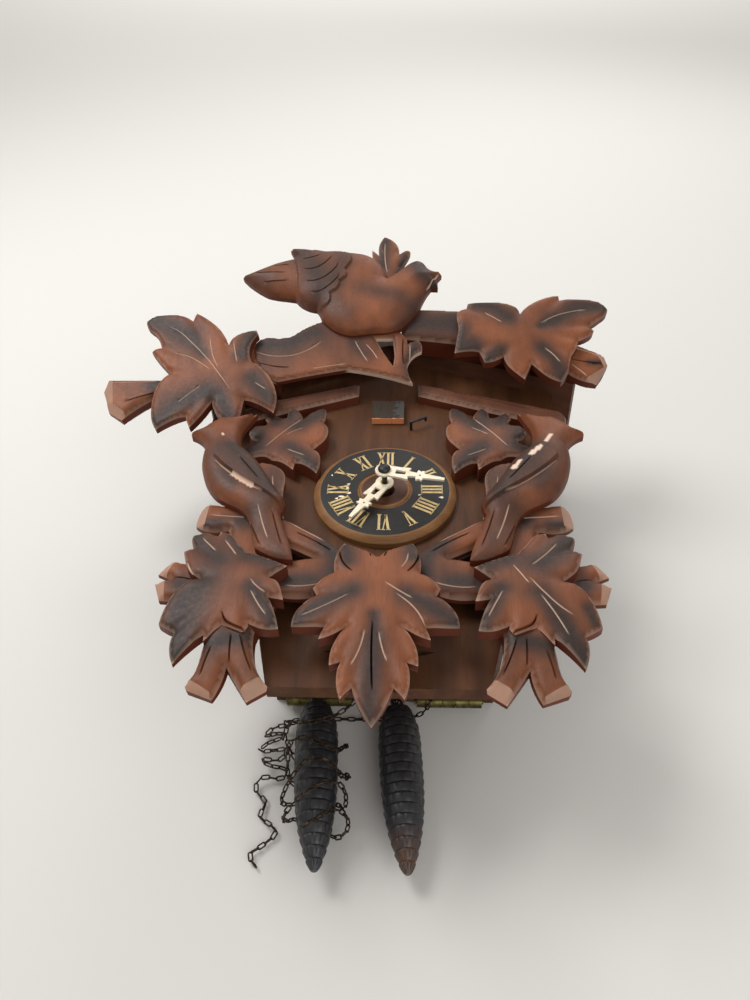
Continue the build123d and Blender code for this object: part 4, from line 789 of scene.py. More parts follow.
CROWN_LEAF_RIGHT = [
    [(41.5, 8), (50, 9)], [(57, 9)], [(60, 0), (66, 1)], [(72, 5), (74, -2), (79, -8)], [(84, -12.5)],
    [(89, -0.5), (93, -6), (100, -12)], [(106, -14.5), (110, -9), (112, -1)], [(114, 6), (118, 13)],
    [(119, 17), (124, 19), (128, 22)], [(129.5, 25)], [(127, 28.5), (134, 34), (139, 39)],
    [(140, 43), (136, 48), (125, 50.5), (116, 50.5)], [(110, 50)], [(109.5, 53.5), (100, 51), (90, 45)],
    [(84, 38.8), (82, 43), (77, 46), (64, 48)], [(51, 47.5)], [(50, 44), (45, 41), (44.5, 26), (43, 17)]]
CROWN_RIGHT_SPRAYS = [
    (8, [(56, 46), (68, 42), (76, 34)]), (10, [(139, 44), (120, 42), (104, 32)]),
    (4, [(106, 33), (96, 27)]), (7.5, [(96, 10), (103, 1), (107, -13)]), (6, [(70, 9), (62, 2)]),
    (8, [(45, 26), (45, 12), (54, 13)])]
CROWN_RIGHT_CUTS = [
    [(96, 29), (105, 35), (116, 39), (126, 41)], [(97, 10), (103, 4), (106, -1)],
    [(61, 38.5), (67, 34), (72, 30)]]
CROWN_LEAVES = {
    "crown_leaf_left": (CROWN_LEAF_LEFT, CROWN_LEFT_SPRAYS, CROWN_LEFT_CUTS, (-100, -14)),
    "crown_leaf_right": (CROWN_LEAF_RIGHT, CROWN_RIGHT_SPRAYS, CROWN_RIGHT_CUTS, (84, 22))}
SMALL_LEAF = [
    [(3, 62), (5, 74)], [(8, 90)], [(12, 98), (13, 106)], [(6, 104), (3, 114)], [(-4.5, 120), (-8, 112)],
    [(-8, 103)], [(-13, 107), (-12, 98)], [(-8, 88), (-2, 76)]]
SMALL_SPRAYS = [(6, [(-4, 114), (-5, 90)]), (4, [(10, 100), (6, 84)])]
SMALL_CUTS = [[(-4, 113), (-4, 100), (-2, 84)]]


def centre_leaf():
    """The leaf under the dial, one side of its outline mirrored to the other."""
    top = [[(0, -66)]]
    other = [[(-x, y) for x, y in following[:1] + stroke[:0:-1]]
             for stroke, following in zip(CENTRE_SIDE, CENTRE_SIDE[1:] + top)]
    strokes = [[(0, -157), (6, -147)]] + CENTRE_SIDE + top + other[-2::-1] + [[(-9, -139), (-6, -147)]]
    leaf("centre_leaf_carved", strokes, CENTRE_SPRAYS, CENTRE_CUTS, (0, -86), DECK, LEAF_TOP, ["centre_leaf"],
         Matrix.Translation((-1.3, 0, 0)), droop=5.0, span=60.0, slits=CENTRE_SLITS)


def build_leaves():
    for side, place in SIDES:
        node = "lower_leaf_" + side
        leaf(node + "_carved", LOWER_LEAF, *LOWER_PAINT[side], (65, -82), DECK, LEAF_TOP, [node], place,
             slits=LOWER_SLITS)
    centre_leaf()
    for side, place in SIDES:
        leaf("upper_leaf_" + side, UPPER_LEAF, UPPER_SPRAYS, UPPER_CUTS, (62, 38), FRONT, FRONT + 12.5,
             stands_for_both("upper_leaves", side), place, edge=8.0)
    for node, shape in CROWN_LEAVES.items():
        leaf(node + "_carved", *shape, 0, 9, [node], CROWN, droop=2.5, span=60, edge=4.0)
    leaf("crown_small_leaf_carved", SMALL_LEAF, SMALL_SPRAYS, SMALL_CUTS, (0, 88), -9, -4.5,
         ["crown_small_leaf"], CROWN, droop=1.5, span=40)


# Branches and logs


def log(name, strokes, sprays_and_shade, cuts, grooves, floor, top, replaced, place, radius=5.0, rise=evenly(0.0),
        undercut=evenly(0.0), **more):
    """A carved branch with rounded edges and long grooves, raised by rise(x, y)."""
    def surface(x, y, d):
        return top + rise(x, y) - round_over(d, radius) * 0.8

    relief(name, strokes, surface, floor, sprays_and_shade, cuts, grooves, LOG_STYLE, replaced, place, undercut, **more)


SIDE_BRANCH = [
    [(56.5, -110), (55.5, -120), (52, -129.5)], [(47.5, -135)], [(47.8, -136.8)],
    [(55.8, -142.5), (60, -136.5)], [(66.8, -126.5), (68, -134)], [(71, -141.8)], [(82.5, -137.5)],
    [(83.8, -135.5), (80.5, -129), (79, -119)], [(78, -110), (85, -96)], [(93, -87.5)], [(107, -86.5)],
    [(111.3, -76)], [(103, -73.5)], [(111.3, -69.3)], [(106, -61.3)], [(97, -63.5), (88, -60)],
    [(79, -48), (79, -44)], [(81, -38.5), (96, -37.5)], [(99, -35), (99.3, -28), (97, -21.5), (84, -21.5)],
    [(73, -24), (60, -27), (52, -31)], [(40, -39), (24, -50)], [(17, -57), (16, -68)],
    [(22, -78), (34, -84)], [(47, -84), (52, -95)]]
BRANCH_HOLE = [(33, -58.5), (46, -61), (53, -60), (56, -50), (49, -49.5)]
BRANCH_SPRAYS = [
    (6, [(60, -113), (76, -117)]), (8, [(30, -50), (22, -60), (22, -72)]), (8, [(34, -76), (46, -76)]),
    (9, [(60, -34), (74, -34)]), (7, [(98, -78), (90, -84)]), (4, [(96, -36), (86, -36)]),
    (9, [(60, -116), (56, -128)], 0.45), (9, [(75, -116), (77, -130)], 0.45)]
BRANCH_GROOVES = [
    [(62, -112), (59, -121), (54, -131)], [(66, -112), (65.7, -120), (65, -127)],
    [(74, -118), (76, -126), (77, -133)], [(46, -42), (36, -48), (24, -57)],
    [(103, -73.8), (98, -74.5), (92, -76)]]
BRANCH_CUTS = [
    [(70, -32), (82, -31), (92, -30)], [(26, -76), (36, -79), (46, -79)], [(50, -34), (40, -41), (29, -49)]]
BRANCH_FACETS = [
    ((54.5, -134.5), -125, 0.8), ((79, -135.5), -60, 0.9), ((104, -66), 20, 0.7), ((105, -81), -10, 0.6),
    ((93.5, -28), 0, 0.8)]
GABLE_LATH = [
    [(19, 90), (60, 73.5)], [(100, 57), (105, 57)], [(109, 62), (109, 68)], [(106, 72), (60, 88)],
    [(19, 102)]]
GABLE_SPRAYS = [(14, [(20, 96), (60, 81), (106, 64)], 0.6)]
GABLE_GROOVES = [[(28, 96), (60, 84), (96, 69)]]
CROWN_LOG_LEFT = [
    [(-179.5, -5.5)], [(-181, -14)], [(-178, -21)], [(-176, -28)], [(-166, -35), (-148, -20), (-130, -12)],
    [(-70, -8)], [(-70, 20)], [(-89, 22)], [(-140, -5.5)]]
LEFT_LOG_SPRAYS = [(7, [(-150, -12), (-120, -2)])]
LEFT_LOG_GROOVES = [[(-166, -24), (-154, -19), (-142, -15)]]
LEFT_LOG_FACETS = [((-171, -25), 230, 1.0), ((-174, -15), 190, 0.5)]
LEFT_LOG_CUTS = [[(-176, -9), (-160, -8), (-146, -8)]]
CROWN_LOG_RIGHT = [
    [(8, 27), (46, 22)], [(106, 8), (123, -7)], [(130, -8.5)], [(134.5, -2)], [(138, 5)], [(136.5, 12)],
    [(121, 20)], [(47, 49)], [(8, 51)]]
# The first, broad spray is painted shade over the log's left part
RIGHT_LOG_SPRAYS_AND_SHADE = [(18, [(8, 38), (60, 36)]), (3, [(126, 5), (134, 5)])]
RIGHT_LOG_GROOVES = [[(112, 9), (120, 6.5), (128, 5), (135, 5)], [(127, 4), (131, 4), (135, 4)]]
RIGHT_LOG_FACETS = [((128, -3), -55, 0.9), ((133.5, 6), 20, 0.5)]
RIGHT_LOG_CUTS = [[(115, 4), (120, -1), (124, -5)], [(116, 17), (126, 13.5), (134, 10)]]
TWIG = [
    [(-70, -8), (-48, -3)], [(-25, 1.5), (-4, -3)], [(15.5, -9.5), (13, -3), (12, 4), (15, 11)],
    [(21, 15.5), (21, 21)], [(19, 24), (15, 23)], [(12, 21), (10.5, 27)], [(7, 31)], [(-30, 33)],
    [(-44, 40), (-54, 35), (-66, 27)], [(-77, 27), (-84, 25)], [(-88, 15.6), (-84, 4)]]
TWIG_HOLE = [(-9, 26), (-3, 14), (3, 4), (4, 12), (2.8, 26)]
TWIG_SPRAYS = [
    (10, [(-82, 20), (-66, 21), (-48, 30)]), (6, [(15, -4), (13, 6), (17, 20)]),
    (8, [(-34, 32), (-18, 26)], 0.7), (4, [(-24, 22), (-16, 12)], 0.7), (9, [(-84, 6), (-66, 4)], 0.4),
    (12, [(-74, 14), (-48, 16), (-14, 14)], 0.4)]
TWIG_GROOVES = [[(-84, 6), (-74, 3), (-62, 2)], [(9.5, 26), (9, 14), (10, 2)]]
TWIG_CUTS = [
    [(-86, 14.5), (-72, 11), (-60, 12), (-50, 17), (-43, 23)], [(-22, 23), (-17, 13), (-13, 6)],
    [(-15, 20), (-10, 14), (-7, 8)], [(-48, 1), (-38, 3), (-27, 4.5)], [(13.5, 20), (13.5, 10), (12.5, 0)]]


def stub_rise(x, y):
    """The two stubs stand up to the leaf that they grow from."""
    return 5.0 * smoothstep(-y, 98, 104) * np.clip((y + 141) / 29, 0, 1)


def stub_hollow(side, start):
    """A crown log is cut away behind from a distance out to its side, -1 or 1."""
    return lambda x, y: 10.0 * smoothstep(side * x, start, start + 10)


def sawn(x, y):
    """The twig's front edge is bare sawn wood to the right of its knot."""
    return smoothstep(x, -28, -24)


def build_branches():
    for side, place in SIDES:
        node = "side_branch_" + side
        log(node + "_carved", SIDE_BRANCH, BRANCH_SPRAYS, BRANCH_CUTS, BRANCH_GROOVES, FRONT, DECK, [node],
            place, rise=stub_rise, undercut=evenly(8.5), holes=[BRANCH_HOLE], facets=BRANCH_FACETS)
    for side, place in SIDES:
        log("gable_branch_" + side, GABLE_LATH, GABLE_SPRAYS, [], GABLE_GROOVES, FRONT, FRONT + 8,
            stands_for_both("gable_branches", side), place, radius=3.5)
    log("crown_twig_carved", TWIG, TWIG_SPRAYS, TWIG_CUTS, TWIG_GROOVES, -9, 0, ["crown_twig"], CROWN,
        radius=3.0, undercut=evenly(3.5), holes=[TWIG_HOLE], bare=sawn)
    log("crown_log_left_carved", CROWN_LOG_LEFT, LEFT_LOG_SPRAYS, LEFT_LOG_CUTS, LEFT_LOG_GROOVES, LOG_BACK,
        LOG_FRONT, ["crown_log_left"], CROWN, undercut=stub_hollow(-1, 120), facets=LEFT_LOG_FACETS)
    log("crown_log_right_carved", CROWN_LOG_RIGHT, RIGHT_LOG_SPRAYS_AND_SHADE, RIGHT_LOG_CUTS, RIGHT_LOG_GROOVES,
        LOG_BACK, LOG_FRONT, ["crown_log_right"], CROWN, undercut=stub_hollow(1, 108),
        facets=RIGHT_LOG_FACETS)


# Birds


def bird(name, strokes, sprays_and_shade, wing, cuts, grooves, floor, replaced, place, rim, rise, breadth, wing_rise,
         tilt=0.0, chips=(), full=evenly(1.0)):
    """A bird in relief: a rounded body and tail that rises from its rim, and a wing that stands proud of it.
    The head's end stands higher by a tilt. How full the body is at a point scales its rise there."""
    wing = outline_of(wing)
    loop = wing + wing[:1]

    def edge(y):
        return rim + tilt * smoothstep(y, -25, 15)

    def surface(x, y, d):
        dome = np.sqrt(1 - (1 - np.clip(d / breadth, 0, 1)) ** 2)
        near = segment_distance(x, y, loop)[0]
        step = np.where(inside(x, y, np.array(wing)), wing_rise * smoothstep(near, -0.2, 1.0), 0)
        return edge(y) + rise * full(x, y) * dome + step

    def hollow(x, y):
        return np.maximum(0, edge(y) - BIRD_EDGE - floor)

    relief(name, strokes, surface, floor, sprays_and_shade, cuts, grooves, BIRD_STYLE, replaced, place, hollow,
           [shifted(loop, -WING_STEP), loop], chips=chips, step=BIRD_GRID)


SIDE_BIRD = [
    [(112.5, 29.5), (106.5, 32.5), (103, 37), (96, 42.5), (87, 43.5)],
    [(77, 49.5), (80, 41), (83, 32), (83, 24)], [(79, 13), (70, 3), (63, -8), (57, -18)], [(51.5, -26)],
    [(52.5, -31.5)], [(53.5, -34), (50, -46), (46, -56)], [(43.5, -66), (50, -65.5), (57, -62.5)],
    [(63.5, -58), (66, -50), (68.5, -41), (71.5, -34.5)],
    [(78, -28.5), (84, -25), (90, -20.5), (95, -14), (98.5, -7), (101, 1), (102, 10)],
    [(101.5, 16.5), (104.5, 22)], [(112, 28)]]
SIDE_WING = [
    [(94, 3), (86, -6), (79, -12), (71, -18), (63, -24)], [(52.5, -31.5)],
    [(51.5, -26), (57, -18), (63, -8), (70, 3)], [(79, 12), (86, 14), (92, 10)]]
FAR_WING = [[(72, 12), (62, 10), (57, 5)], [(55, -4), (54.5, -18)], [(52, -33), (58, -28), (66, -14)]]
FAR_WING_SPRAYS = [(14, [(60, 2), (56, -30)], 0.7)]
FAR_WING_CUTS = [[(62, 0), (60, -12), (56, -24)]]
SIDE_BIRD_SPRAYS = [
    (12, [(84, 10), (72, -6), (60, -22)], 0.9), (5, [(86, -9), (81, -17)], 0.6),
    (9, [(66, -34), (58, -50), (50, -65)], 0.65), (5, [(104, 31), (98, 20)], 0.3),
    (11, [(98, 8), (90, -12)], 0.5)]
# The first cut, along the wing's lower edge, is a painted highlight carved as a pale cut
SIDE_BIRD_CUTS_AND_HIGHLIGHT = [
    [(93, 0.5), (86, -6.5), (79, -12.5), (71, -18.5), (63, -23.5)], [(65, -31), (61.5, -42), (57, -54)]]
SIDE_BIRD_GROOVES = [
    [(80, 2), (73, -7), (65, -17)], [(58, -32), (54, -45), (49, -60)], [(69, -38), (65, -48), (60, -59)]]
# The left bird's marks are painted highlights: a broad one along the wing's lower edge and a small glint on
# the head
LEFT_HIGHLIGHTS = [([(81, -10.5), (75, -15.5), (69, -19.5)], 0.9), ([(92, 22), (91, 21)], 0.7)]
RIGHT_CHIPS = [
    ([(92, 21), (88.5, 15)], 0.8), ([(84.5, 8.5), (79.5, 3)], 1.5), ([(72.5, -2.5), (69, -7.5)], 1.4),
    ([(97, 42.5), (94, 42)], 1.2)]
CROWN_BIRD = [
    [(-99, 74.5), (-94, 69), (-88, 64), (-80, 59), (-70, 57)], [(-62, 55.5), (-59, 52), (-54, 48.5)],
    [(-47.5, 46.5), (-45, 42)],
    [(-44, 38), (-28, 26), (-10, 27), (1, 28), (8, 31), (12.5, 36), (18, 43), (21.5, 52), (24, 58)],
    [(27.5, 64)], [(32, 63.8)], [(31.8, 69)], [(30.8, 70)], [(34.6, 75.3)], [(33.5, 77.3), (27, 79)],
    [(24.5, 83), (18, 87), (12, 84), (6, 78)], [(-2, 72), (-6, 84), (-13, 91), (-28, 95), (-42, 95)],
    [(-44, 95), (-54, 98)], [(-68.5, 99)], [(-64, 90), (-77, 86), (-89, 80)]]
CROWN_WING = [
    [(-66, 91), (-63, 80), (-61, 68)], [(-61, 56), (-54, 49)], [(-46, 43), (-38, 48)],
    [(-38, 54), (-33, 58)], [(-32, 64), (-28, 68)], [(-29, 74), (-25, 82)],
    [(-26, 90), (-40, 94.5), (-56, 93)]]
# The fourth spray, across the body below the wing, is a painted shadow
CROWN_BIRD_SPRAYS_AND_SHADE = [
    (15, [(-62, 93), (-52, 76), (-46, 58)], 0.85), (9, [(-34, 93), (-30, 80), (-36, 66)], 0.7),
    (10, [(-98, 74), (-80, 68)], 0.6), (8, [(-16, 58), (2, 53), (14, 46)], 0.65),
    (9, [(-44, 48), (-28, 38)], 0.5), (9, [(16, 84), (22, 72)], 0.95),
    (7, [(27, 66), (20, 48), (10, 34)], 0.5), (4, [(30, 66), (31, 65)], 0.9)]
CROWN_BIRD_CUTS = [[(24, 60), (28, 67), (33, 75)]]
CROWN_BIRD_GROOVES = [
    [(-60, 84), (-52, 84), (-46, 88)], [(-58, 74), (-50, 74), (-42, 80), (-38, 88)],
    [(-56, 64), (-47, 64), (-39, 70), (-33, 80)], [(-52, 55), (-44, 56), (-37, 62), (-32, 70)],
    [(-92, 74), (-80, 73), (-68, 72)], [(-84, 66), (-76, 66), (-66, 66)], [(-80, 80), (-72, 80), (-66, 80)]]


def flat_tail(x, y):
    """The side birds' tails are flatter than their bodies."""
    return 0.4 + 0.6 * smoothstep(y, -46, -22)


def side_bird(name, place, chips):
    bird(name + "_carved", SIDE_BIRD, SIDE_BIRD_SPRAYS, SIDE_WING, SIDE_BIRD_CUTS_AND_HIGHLIGHT, SIDE_BIRD_GROOVES, DECK,
         [name], place, rim=DECK + 4, rise=7.0, breadth=9.5, wing_rise=2.2, tilt=2.5, chips=chips,
         full=flat_tail)
    leaf(name + "_far_wing", FAR_WING, FAR_WING_SPRAYS, FAR_WING_CUTS, (62, -8), FRONT, DECK + 2, (), place,
         droop=1.0)


def build_birds():
    side_bird("side_bird_right", FLAT, RIGHT_CHIPS)
    side_bird("side_bird_left", MIRROR, LEFT_HIGHLIGHTS)
    bird("crown_bird_carved", CROWN_BIRD, CROWN_BIRD_SPRAYS_AND_SHADE, CROWN_WING, CROWN_BIRD_CUTS, CROWN_BIRD_GROOVES,
         -11.0, ["crown_bird"], CROWN, rim=1.5, rise=8.5, breadth=18.0, wing_rise=1.6)


# Dial

# A letter is its width and its strokes, each from one place to another with a share of the full width
STROKES = {"I": (2.0, [((0, 0), (0, 1), 1.0)]),
           "V": (4.4, [((-0.5, 1), (0.05, 0), 1.0), ((0.5, 1), (0.0, 0), 0.45)]),
           "X": (4.6, [((-0.5, 1), (0.5, 0), 1.0), ((0.5, 1), (-0.5, 0), 0.45)])}
NUMERALS = ["XII", "I", "II", "III", "IIII", "V", "VI", "VII", "VIII", "IX", "X", "XI"]
# A flake is its place, half width and half height
CHIPS = [
    (-20.5, 4.5, 1.1, 0.7), (-21, 1, 0.9, 1.3), (-20, -3, 1.5, 1.0), (-24, -6, 1.8, 0.8),
    (-26.5, -7.5, 1.0, 0.8), (-30.5, 12, 0.6, 0.6), (31.5, -6.5, 1.4, 0.9), (19.5, -4.5, 0.9, 0.6)]
# A profile is radius and height, once round the solid
DIAL_PROFILE = [
    (40, FRONT), (40, 88.2), (39.6, 88.7), (36.9, 90.8), (36.3, DIAL_FACE), (15.6, DIAL_FACE), (15.2, 90.4),
    (14.6, 90.4), (14.0, 91.2), (13.2, 91.4), (12.4, 90.9), (5.6, 90.6), (5.6, FRONT)]
NUT_PROFILE = [
    (3.3, 105.6), (3.5, 106.2), (3.4, 106.9), (2.9, 107.6), (1.9, 108.1), (0.02, 108.3), (0.02, 105.6)]


def numeral_boxes(text):
    """The strokes and serifs of one numeral as (start, end, width), centred, between its two radii."""
    x = -(sum(STROKES[c][0] for c in text) + STROKE_GAP * (len(text) - 1)) / 2
    tall = NUMERAL_HIGH - NUMERAL_LOW
    out = []
    for c in text:
        wide, strokes = STROKES[c]
        span = wide - 1.4 if c != "I" else 0
        for (ax, ay), (bx, by), share in strokes:
            start = (x + wide / 2 + ax * span, NUMERAL_LOW + ay * tall)
            end = (x + wide / 2 + bx * span, NUMERAL_LOW + by * tall)
            out.append((start, end, STROKE_WIDE * share))
            for px, py in (start, end):
                if py > NUMERAL_LOW + tall / 2 or c != "V":
                    out.append(((px - SERIF_HALF, py), (px + SERIF_HALF, py), SERIF_THICK))
        x += wide + STROKE_GAP
    return out


def build_numerals():
    """Gilt Roman numerals standing a hair above the black ring, their feet to the centre."""
    points, faces = [], []
    box = [[4, 5, 6, 7]] + [[k, (k + 1) % 4, 4 + (k + 1) % 4, 4 + k] for k in range(4)]
    for hour, text in enumerate(NUMERALS):
        turn = Matrix.Rotation(-math.radians(30 * hour), 2)
        for a, b, wide in numeral_boxes(text):
            a, b = Vector(a), Vector(b)
            side = (b - a).normalized().orthogonal() * wide / 2
            corners = [turn @ p for p in (a - side, a + side, b + side, b - side)]
            levels = (DIAL_FACE, DIAL_FACE + GILT_THICK)
            join(points, faces, [(c.x, c.y, z) for z in levels for c in corners], box)
    add_piece("dial_numerals", points, faces, "gold", "case")


def build_chips():
    """Places where the ring's paint has flaked to a pale ground: uneven six-sided flakes."""
    points, faces = [], []
    flake = [[k, (k + 1) % 6, 6] for k in range(6)] + [[5, 4, 3, 2, 1, 0]]
    for x, y, wide, tall in CHIPS:
        corners = []
        for k in range(6):
            a = math.radians(60 * k + 20 * math.sin(x + k))
            reach = 1 + 0.35 * math.sin(3 * k + y)
            across, up = wide * reach * math.cos(a), tall * reach * math.sin(a)
            corners.append((x + across, y + up, DIAL_FACE + FLAKE_RIM))
        join(points, faces, corners + [(x, y, DIAL_FACE + FLAKE_MIDDLE)], flake)
    add_piece("dial_chips", points, faces, "ivory", "case")


def turned(name, profile, parts, look, body, replaced):
    """A turned piece from a closed profile of radius and height round the hands' axis."""
    angles = [math.tau * k / parts for k in range(parts)]
    points = [(r * math.cos(a), r * math.sin(a), z) for r, z in profile for a in angles]
    add_piece(name, points, ring_faces(len(profile), parts, True), look, body, replaced)


def build_dial():
    """The turned dial with its numerals and flaked paint, and the domed nut that holds the hands."""
    turned("dial_turned", DIAL_PROFILE, 128, "dial", "case", ["dial"])
    build_numerals()
    build_chips()
    turned("hand_nut_dome", NUT_PROFILE, 48, "dark_steel", "minute_hand", ["hand_nut"])


# Weights and chains


def weight_radius(rise):
    """The cone's radius at a height above its tip."""
    if rise < WEIGHT_WIDEST:
        return WEIGHT_R * (1 - 0.78 * (1 - rise / WEIGHT_WIDEST) ** 3.2)
    return WEIGHT_R * (1 - 0.4 * ((rise - WEIGHT_WIDEST) / (WEIGHT_LENGTH - WEIGHT_WIDEST)) ** 2.5)


def weight_place(place):
    return Matrix.Translation(place) @ Matrix.Rotation(WEIGHT_TILT, 4, "Z")


def cone(name, place, rusty):
    """A cast pine cone: rows of scales, each lapping the row below and half a scale round from it."""
    parts, layers = 132, 7
    rings = CONE_ROWS * layers + 1
    points, pale, rust = [], [], []
    for i in range(rings):
        row, level = divmod(i, layers)
        rise = WEIGHT_LENGTH * i / (rings - 1)
        lap = level / layers
        lip = lap ** 0.6 * (1 - max(0.0, lap - 0.8) * 4)
        for k in range(parts):
            a = math.tau * k / parts
            cell = (a * CONE_SCALES / math.tau + 0.5 * (row % 2)) % 1.0
            bulge = 1 - abs(2 * cell - 1) ** 3
            r = CONE_SLIM * weight_radius(rise) - SCALE_LIP + SCALE_LIP * lip * (0.45 + 0.55 * bulge)
            points.append((r * math.sin(a), rise, r * math.cos(a)))
            pale.append(max(0.0, lip - 0.75) * 3 * bulge * 0.8)
            rust.append(max(0.0, 1 - rise / RUST_REACH) if rusty else 0.0)
    faces = ring_faces(rings, parts)
    hook_points, hook_faces = wire_loop()
    join(points, faces, hook_points, hook_faces)
    pale += [0.3] * len(hook_points)
    rust += [0.0] * len(hook_points)
    add_piece(name + "_cast", points, faces, "iron", name, [name], weight_place(place),
              {"pale": pale, "rust": rust})


def wire_loop():
    """The wire eye at the top of a weight: a stem that rises and closes in a ring."""
    line = [(0, WEIGHT_LENGTH - HOOK_STEM, 0), (0, WEIGHT_LENGTH + HOOK_STEM, 0)]
    line += [(HOOK_LOOP_R * math.sin(a), HOOK_MIDDLE - HOOK_LOOP_R * math.cos(a), 0.0)
             for a in np.linspace(0.25, math.tau, 26)]
    return tube_mesh(line, HOOK_R, 12)


def tube_mesh(line, radius, sides):
    """Points and faces of a round tube along a line of points."""
    line = [Vector(p) for p in line]
    side = (line[1] - line[0]).orthogonal().normalized()
    points = []
    for i, p in enumerate(line):
        ahead = (line[min(i + 1, len(line) - 1)] - line[max(i - 1, 0)]).normalized()
        side = (side - ahead * side.dot(ahead)).normalized()
        other = ahead.cross(side)
        points += [tuple(p + (side * math.cos(a) + other * math.sin(a)) * radius)
                   for a in np.linspace(0, math.tau, sides, endpoint=False)]
    return points, ring_faces(len(line), sides)


def smooth_route(points):
    """Points of the NURBS spline whose control points are a route's points, in millimetres."""
    curve = bpy.data.curves.new("route", "CURVE")
    curve.dimensions = "3D"
    spline = curve.splines.new("NURBS")
    spline.points.add(len(points) - 1)
    for point, place in zip(spline.points, points):
        point.co = (*place, 1)
    spline.order_u = 3
    spline.use_endpoint_u = True
    curve.resolution_u = 24
    made = add_object("route", curve)
    mesh = bpy.data.meshes.new_from_object(made)
    line = [v.co.copy() for v in mesh.vertices]
    bpy.data.objects.remove(made)
    bpy.data.meshes.remove(mesh)
    return line


def along_line(line, step):
    """Places a step apart along a line, each with its direction."""
    out = []
    left = 0.0
    for a, b in zip(line, line[1:]):
        length = (b - a).length
        if length < 1e-9:
            continue
        while left < length:
            out.append((a + (b - a) * (left / length), (b - a) / length))
            left += step
        left -= length
    return out


def link_mesh(middle, ahead, side, sides=6, parts=14):
    """One oval link of round wire, lying in the plane of ahead and side."""
    out_of = ahead.cross(side)
    half, bend = LINK_LONG / 2 - LINK_WIRE, LINK_WIDE / 2 - LINK_WIRE
    points = []
    for i in range(parts):
        a = math.tau * i / parts
        straight = math.copysign(half - bend, math.cos(a))
        centre = ahead * (math.cos(a) * bend + straight) + side * (math.sin(a) * bend)
        outward = ahead * math.cos(a) + side * math.sin(a)
        for k in range(sides):
            b = math.tau * k / sides
            points.append(tuple(middle + centre + (outward * math.cos(b) + out_of * math.sin(b)) * LINK_WIRE))
    return points, ring_faces(parts, sides, True)


def chain(name, route, body, node, place=FLAT):
    """A chain of oval links, every second one turned a quarter, along a route's smooth line."""
    line = smooth_route(route)
    points, faces = [], []
    side = Vector((0.2, 0.1, 1)).normalized()
    for i, (middle, ahead) in enumerate(along_line(line, LINK_PITCH)):
        side = (side - ahead * side.dot(ahead)).normalized()
        join(points, faces, *link_mesh(middle, ahead, side if i % 2 == 0 else ahead.cross(side)))
    made = add_piece(name, points, faces, "chain", body, [node], place)


def over_sprocket(middle):
    """Points of a chain over a sprocket, from its left to its right, as in the solids."""
    r = CHAIN_LINE_R / math.cos(math.radians(22.5))
    arc = [math.radians(a) for a in (22.5, 67.5, 112.5, 157.5)]
    over = [(middle - r * math.cos(a), SPROCKET_Y + r * math.sin(a), CHAIN_Z) for a in arc]
    first, last = [(middle + x, CHAIN_INSIDE, CHAIN_Z + 0.2) for x in (-CHAIN_LINE_R, CHAIN_LINE_R)]
    return [first] + over + [last]


def hook_place(place):
    """The middle of a weight's wire eye."""
    x, y, z = place
    return x - HOOK_MIDDLE * math.sin(WEIGHT_TILT), y + HOOK_MIDDLE * math.cos(WEIGHT_TILT), z


# Where the right chain's free end lies, and how far the winding's points stand off the weight and sag
HEAP = [
    (-46, -92, 2), (-55, -96, 6), (-49, -99, 8), (-60, -97, 3), (-65, -103, 2), (-56, -103, 7),
    (-52, -107, 9), (-62, -108, 5), (-67, -112, 2), (-57, -113, 6), (-50, -113, 8), (-54, -118, 3),
    (-64, -118, 6), (-60, -123, 8), (-49, -122, 3), (-52, -128, 2), (-63, -127, 5), (-66, -134, 2),
    (-58, -140, 2), (-62, -148, 2), (-55, -152, 3), (-51, -156, 2), (-57, -162, 2), (-65, -168, 3),
    (-59, -173, 2)]
SLACK = (0, 0.6, 2.4, 1.0, 0, 1.6, 3.4)
SAG = (0, 4.0, 5.0, 0.5, -4.5, -5.0, -1.0, 4.5, 5.5, 1.0, -4.0)


def right_route():
    """From the right weight's hook over the sprocket, out of the case and across the floor to the heap."""
    x, y, z = hook_place(WEIGHT_RIGHT)
    rise = [(x, y, z + 1.5), (SPROCKET_X - CHAIN_LINE_R + 2, y + 0.4, CHAIN_Z)]
    fall = [(SPROCKET_X + CHAIN_LINE_R, CHAIN_OUTSIDE, CHAIN_Z), (26, CHAIN_OUTSIDE - 2, FLOOR_Z)]
    floor = [(across, CHAIN_OUTSIDE - 4, FLOOR_Z) for across in (-6, -38)]
    return rise + over_sprocket(SPROCKET_X) + fall + floor + HEAP


def left_route():
    """From the left weight's hook over the sprocket and back down to the winding on the weight."""
    x, y, z = hook_place(WEIGHT_LEFT)
    end = weight_place(WEIGHT_LEFT) @ Vector((0, WINDING_TOP, WINDING_R))
    rise = [(x, y, z + 1.5), (-SPROCKET_X - CHAIN_LINE_R - 1.5, y + 0.2, CHAIN_Z)]
    fall = [(-SPROCKET_X + CHAIN_LINE_R, -97, CHAIN_Z), (end.x + 15, end.y + 3, end.z + 2)]
    return rise + over_sprocket(-SPROCKET_X) + fall + [(end.x + 3.4, end.y + 0.6, end.z)]


def winding_route():
    """Loose turns round the left weight, slack only where they don't lie against the floor."""
    radius = WINDING_R / math.cos(math.pi / TURN_POINTS)
    route = [(3, WINDING_TOP + 0.4, WINDING_R)]
    for i in range(TURN_POINTS * WINDING_TURNS + 1):
        a = math.tau * (i + 0.5) / TURN_POINTS
        r = radius + SLACK[i % len(SLACK)] * (math.cos(a) > -0.5)
        down = WINDING_TOP - WINDING_PITCH * (i + 0.5) / TURN_POINTS + SAG[i % len(SAG)]
        route.append((-r * math.sin(a), down, r * math.cos(a)))
    return route


def build_chains():
    chain("chain_right_links", right_route(), "case", "chain_right")
    chain("chain_left_links", left_route(), "case", "chain_left")
    chain("chain_winding_links", winding_route(), "weight_left", "chain_winding_left",
          weight_place(WEIGHT_LEFT))


# Bellows


